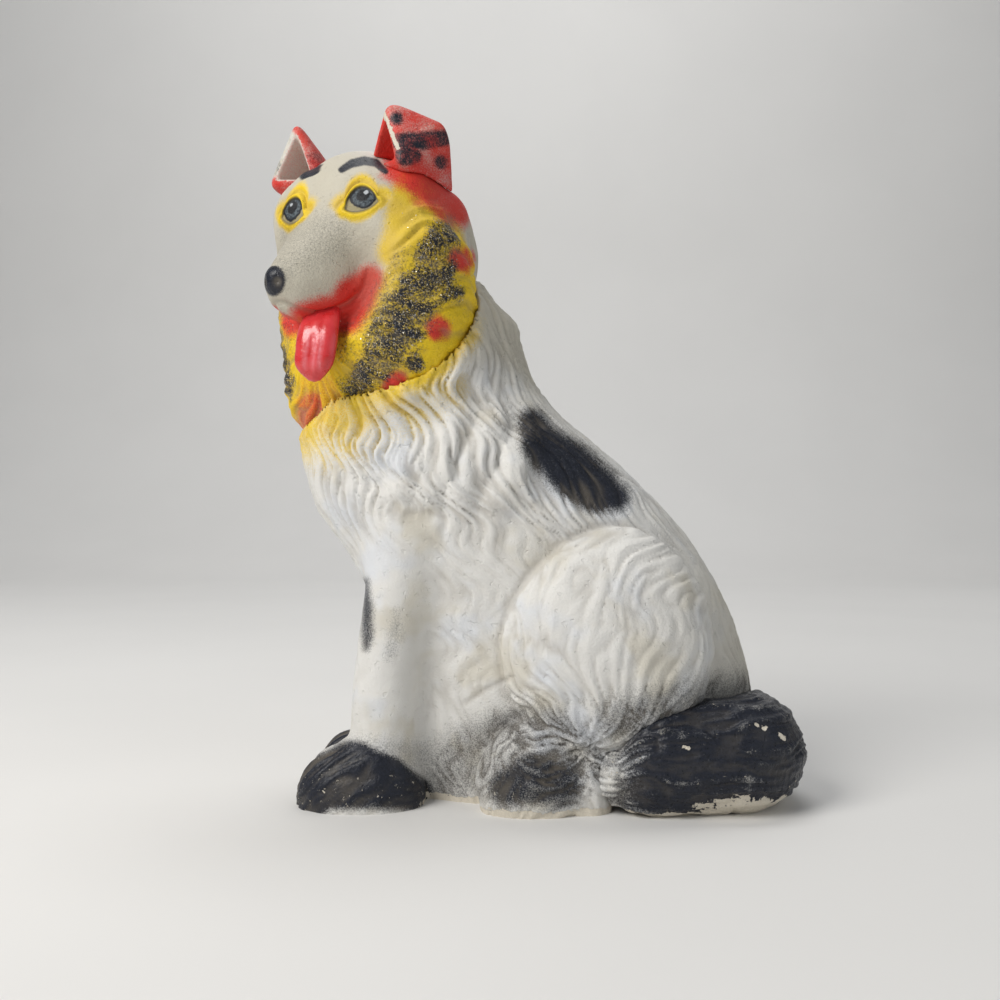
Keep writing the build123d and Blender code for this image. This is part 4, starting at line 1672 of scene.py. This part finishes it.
def glitter_tree():
    """Nodes that scatter small flakes over a skin, as densely as its glitter attribute says."""
    tree = bpy.data.node_groups.new("glitter", "GeometryNodeTree")
    face = tree.interface
    face.new_socket("Geometry", in_out="INPUT", socket_type="NodeSocketGeometry")
    for name in ("Density", "Flake size"):
        face.new_socket(name, in_out="INPUT", socket_type="NodeSocketFloat")
    face.new_socket("Paint", in_out="INPUT", socket_type="NodeSocketMaterial")
    face.new_socket("Geometry", in_out="OUTPUT", socket_type="NodeSocketGeometry")

    def node(kind, inputs=(), **settings):
        return add_node(tree, kind, inputs, settings)

    given = node("NodeGroupInput").outputs
    share = node("GeometryNodeInputNamedAttribute", {"Name": "glitter"}, data_type="FLOAT").outputs[0]
    dense = node("ShaderNodeMath", {0: share, 1: given["Density"]}, operation="MULTIPLY").outputs[0]
    points = node(
        "GeometryNodeDistributePointsOnFaces", {"Mesh": given["Geometry"], "Density": dense, "Seed": 7}
    )
    flake = node("GeometryNodeMeshUVSphere", {"Segments": 5, "Rings": 2, "Radius": 1.0}).outputs["Mesh"]
    flat = node("GeometryNodeTransform", {"Geometry": flake, "Scale": (1.0, 1.0, 0.25)}).outputs["Geometry"]
    lean = {0: (-0.7, -0.7, 0.0), 1: (0.7, 0.7, 6.0), "Seed": 3}
    tilt = node("FunctionNodeRandomValue", lean, data_type="FLOAT_VECTOR").outputs[0]
    stance = {0: points.outputs["Rotation"], 1: tilt}
    turn = node("FunctionNodeRotateRotation", stance, rotation_space="LOCAL").outputs[0]
    wide = node("FunctionNodeRandomValue", {2: 0.5, 3: 1.0, "Seed": 5}, data_type="FLOAT").outputs[1]
    size = node("ShaderNodeMath", {0: wide, 1: given["Flake size"]}, operation="MULTIPLY").outputs[0]
    each = {"Points": points.outputs["Points"], "Instance": flat, "Rotation": turn, "Scale": size}
    spread = node("GeometryNodeInstanceOnPoints", each).outputs["Instances"]
    whole = node("GeometryNodeRealizeInstances", {"Geometry": spread}).outputs["Geometry"]
    coated = node("GeometryNodeSetMaterial", {"Geometry": whole, "Material": given["Paint"]})
    node("NodeGroupOutput", {"Geometry": coated.outputs["Geometry"]})
    return tree


def glitter_paint(name, _):
    """Bright flakes, some gold and some silver."""
    f = Finish(name)
    kind = f.smooth(f.grain(3.0 * MM, 1.0), 0.4, 0.6)
    f.feed(f.shader.inputs["Base Color"], f.mix(kind, SILVER_FLAKE, GOLD_FLAKE))
    f.shader.inputs["Metallic"].default_value = 0.6
    f.shader.inputs["Roughness"].default_value = 0.25
    return f.material


class FIGURE_OT_glitter(bpy.types.Operator):
    """Flakes of glitter in the paint of the ruff"""

    bl_idname = "figure.glitter"
    bl_label = "Glitter"

    def execute(self, context):
        sculpt = context.scene.figure_sculpt
        skin = bpy.data.objects["head_skin"].data
        piece = bpy.data.objects.new("ruff_glitter", skin.copy())
        context.scene.collection.objects.link(piece)
        skin.attributes.remove(skin.attributes["glitter"])
        tree = glitter_tree()
        scatter = piece.modifiers.new("Glitter", "NODES")
        scatter.node_group = tree
        given = {
            "Density": sculpt.glitter_density,
            "Flake size": sculpt.flake_size,
            "Paint": finish("glitter_paint", glitter_paint),
        }
        for item in tree.interface.items_tree:
            if item.name in given:
                scatter[item.identifier] = given[item.name]
        context.view_layer.update()
        flakes = bpy.data.meshes.new_from_object(piece.evaluated_get(context.evaluated_depsgraph_get()))
        piece.modifiers.clear()
        piece.data = flakes
        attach(piece, "root")
        return {"FINISHED"}


class FIGURE_OT_ears(bpy.types.Operator):
    """Two folded ears"""

    bl_idname = "figure.ears"
    bl_label = "Ears"

    def execute(self, context):
        step = context.scene.figure_sculpt.small_step / MM
        for node, flip in (("left_ear", 1), ("right_ear", -1)):
            corners = from_head(np.concatenate(ear_triangles(flip)))
            box = (corners.min(0) - EAR_ROOM, corners.max(0) + EAR_ROOM)
            mesh = skin_piece(node + "_skin", ear_field(flip), box, step, ear_relief)
            paint_ear(mesh, flip)
            dressed(placed(node + "_skin", mesh, [finish("ear_paint", painted_plaster)]), node)
        return {"FINISHED"}


class FIGURE_OT_tongue(bpy.types.Operator):
    """Tongue that hangs from the lip"""

    bl_idname = "figure.tongue"
    bl_label = "Tongue"

    def execute(self, context):
        points, faces = tongue_mesh()
        mesh = plain_mesh("tongue_skin", points, faces)
        mesh.shade_smooth()
        x, y = through(points[:, 2], TONGUE)[:2]
        across = (points[:, 0] - x) * cos(TONGUE_FACING) - (points[:, 1] - y) * sin(TONGUE_FACING)
        front = -(points[:, 0] - x) * sin(TONGUE_FACING) - (points[:, 1] - y) * cos(TONGUE_FACING)
        # Pale streaks of painted highlight down the middle of the tongue's face
        highlight_streak = sum(np.exp(-(((across - place) / 0.8) ** 2)) for place in TONGUE_HIGHLIGHT_LINES)
        middle = ease(points[:, 2], 196.0, 190.0) * ease(points[:, 2], 176.0, 181.0)
        highlight_streak = 0.6 * highlight_streak * ease(front, 0.5, 2.5) * middle
        # Painted shade: darker red over the tongue's sides and back
        edge = ease(front, 1.0, -1.5)
        set_colour(mesh, "paint", (highlight_streak, 0.6 * edge, 0.0, 0.0))
        dressed(placed("tongue_skin", mesh, [finish("tongue_paint", tongue_paint)]), "tongue")
        return {"FINISHED"}


class FIGURE_OT_tail(bpy.types.Operator):
    """Brush of the tail round the rump"""

    bl_idname = "figure.tail"
    bl_label = "Tail"

    def execute(self, context):
        step = context.scene.figure_sculpt.small_step / MM * 1.25
        mesh = skin_piece("tail_skin", tail, TAIL_BOX, step, tail_relief)
        form = bmesh.new()
        form.from_mesh(mesh)
        cut_flat(form, (0, 0, 0), (0, 0, -1))
        close_flat(form, 2, 0.0, -1)
        smooth_skin(form)
        form.to_mesh(mesh)
        form.free()
        paint_tail(mesh)
        coats = [finish("tail_paint", painted_plaster), finish("raw_plaster", raw_plaster)]
        dressed(placed("tail_skin", mesh, coats), "tail")
        return {"FINISHED"}


class FIGURE_OT_inside(bpy.types.Operator):
    """Plaster beads and the neck's bond, inside the shells"""

    bl_idname = "figure.inside"
    bl_label = "Inside plaster"

    def execute(self, context):
        for node in ("seam_bead_front", "seam_bead_back", "neck_bond"):
            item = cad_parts[node]
            item.data.materials.clear()
            item.data.materials.append(finish("raw_plaster", raw_plaster))
        return {"FINISHED"}


class FigureStage(bpy.types.PropertyGroup):
    """Floor, light and lens."""

    floor: FloatVectorProperty(
        name="Floor",
        description="Colour of the floor and backdrop",
        subtype="COLOR",
        default=(0.8, 0.79, 0.77),
    )
    key_power: FloatProperty(
        name="Key light",
        description="Power of the large light at the front left",
        default=11.0,
        unit="POWER",
    )
    fill_power: FloatProperty(
        name="Fill light",
        description="Power of the light at the front right",
        default=1.2,
        unit="POWER",
    )
    back_power: FloatProperty(
        name="Backdrop light",
        description="Power of the light on the backdrop",
        default=16.0,
        unit="POWER",
    )
    sky: FloatProperty(name="Sky", description="Strength of the even light from all round", default=0.23)
    lens: FloatProperty(
        name="Lens", description="Focal length of the camera", default=39.3, subtype="DISTANCE_CAMERA"
    )


def backdrop_mesh():
    """Floor that curves up into a wall behind."""
    near, far, wide, tall, bend = -2.5, 1.2, 4.0, 3.0, 0.7
    curve = [(far + bend * sin(t), bend - bend * cos(t)) for t in np.linspace(0, pi / 2, 16)]
    profile = [(near, 0.0), *curve, (far + bend, tall)]
    verts = [(x, y, z) for y, z in profile for x in (-wide, wide)]
    faces = [(2 * i, 2 * i + 1, 2 * i + 3, 2 * i + 2) for i in range(len(profile) - 1)]
    mesh = bpy.data.meshes.new("floor")
    mesh.from_pydata(verts, [], faces)
    mesh.shade_smooth()
    return mesh


def area_light(name, place, aim, size, power, colour):
    lamp = bpy.data.lights.new(name, "AREA")
    lamp.shape = "DISK"
    lamp.size = size
    lamp.energy = power
    lamp.color = colour
    item = bpy.data.objects.new(name, lamp)
    item.location = place
    item.rotation_euler = (Vector(aim) - Vector(place)).to_track_quat("-Z", "Y").to_euler()
    bpy.context.scene.collection.objects.link(item)


class FIGURE_OT_stage(bpy.types.Operator):
    """Pale floor and backdrop, soft lights and the camera"""

    bl_idname = "figure.stage"
    bl_label = "Stage"

    def execute(self, context):
        scene = context.scene
        stage = scene.figure_stage
        scene.view_settings.view_transform = "Standard"
        f = Finish("floor_paint")
        tone = f.mix(f.grain(0.2, 3.0), opaque(stage.floor), opaque(stage.floor, 0.97))
        f.feed(f.shader.inputs["Base Color"], tone)
        f.shader.inputs["Roughness"].default_value = 0.9
        mesh = backdrop_mesh()
        mesh.materials.append(f.material)
        floor = bpy.data.objects.new("floor", mesh)
        scene.collection.objects.link(floor)
        world = bpy.data.worlds.new("studio")
        world.use_nodes = True
        world.node_tree.nodes["Background"].inputs["Color"].default_value = (0.93, 0.96, 1.0, 1.0)
        world.node_tree.nodes["Background"].inputs["Strength"].default_value = stage.sky
        scene.world = world
        middle = (-0.02, 0.0, 0.14)
        area_light("key", (-0.75, -0.6, 0.85), middle, 0.7, stage.key_power, (1.0, 0.98, 0.95))
        area_light("fill", (0.9, -0.7, 0.45), middle, 0.9, stage.fill_power, (0.93, 0.96, 1.0))
        area_light("back", (0.0, 0.55, 1.9), (0.0, 1.7, 0.5), 1.2, stage.back_power, (1.0, 1.0, 1.0))
        lens = bpy.data.cameras.new("camera")
        lens.sensor_width = 36.0
        lens.lens = stage.lens
        camera = bpy.data.objects.new("camera", lens)
        camera.location = tuple((EYE_POINT + SHIFT) * MM)
        camera.rotation_euler = (radians(90), 0, 0)
        scene.collection.objects.link(camera)
        scene.camera = camera
        return {"FINISHED"}


class FIGURE_PT_panel(bpy.types.Panel):
    """Sizes, colours and pieces of the figure"""

    bl_idname = "FIGURE_PT_panel"
    bl_label = "Plaster dog"
    bl_space_type = "VIEW_3D"
    bl_region_type = "UI"
    bl_category = "Figure"

    def draw(self, context):
        for group in (context.scene.figure_sculpt, context.scene.figure_paint, context.scene.figure_stage):
            box = self.layout.box()
            for key in group.__annotations__:
                box.prop(group, key)
        for operator in OPERATORS:
            self.layout.operator(operator.bl_idname)


OPERATORS = (
    FIGURE_OT_body,
    FIGURE_OT_head,
    FIGURE_OT_glitter,
    FIGURE_OT_ears,
    FIGURE_OT_tongue,
    FIGURE_OT_tail,
    FIGURE_OT_inside,
    FIGURE_OT_stage,
)
GROUPS = {"figure_sculpt": FigureSculpt, "figure_paint": FigurePaint, "figure_stage": FigureStage}
CLASSES = (*GROUPS.values(), *OPERATORS, FIGURE_PT_panel)


def register():
    for cls in CLASSES:
        bpy.utils.register_class(cls)
    for key, group in GROUPS.items():
        setattr(bpy.types.Scene, key, PointerProperty(type=group))


def unregister():
    for key in GROUPS:
        delattr(bpy.types.Scene, key)
    for cls in reversed(CLASSES):
        bpy.utils.unregister_class(cls)


def main():
    register()
    bpy.ops.figure.body()
    bpy.ops.figure.head()
    bpy.ops.figure.glitter()
    bpy.ops.figure.ears()
    bpy.ops.figure.tongue()
    bpy.ops.figure.tail()
    bpy.ops.figure.inside()
    bpy.ops.figure.stage()


if __name__ == "__main__":
    main()
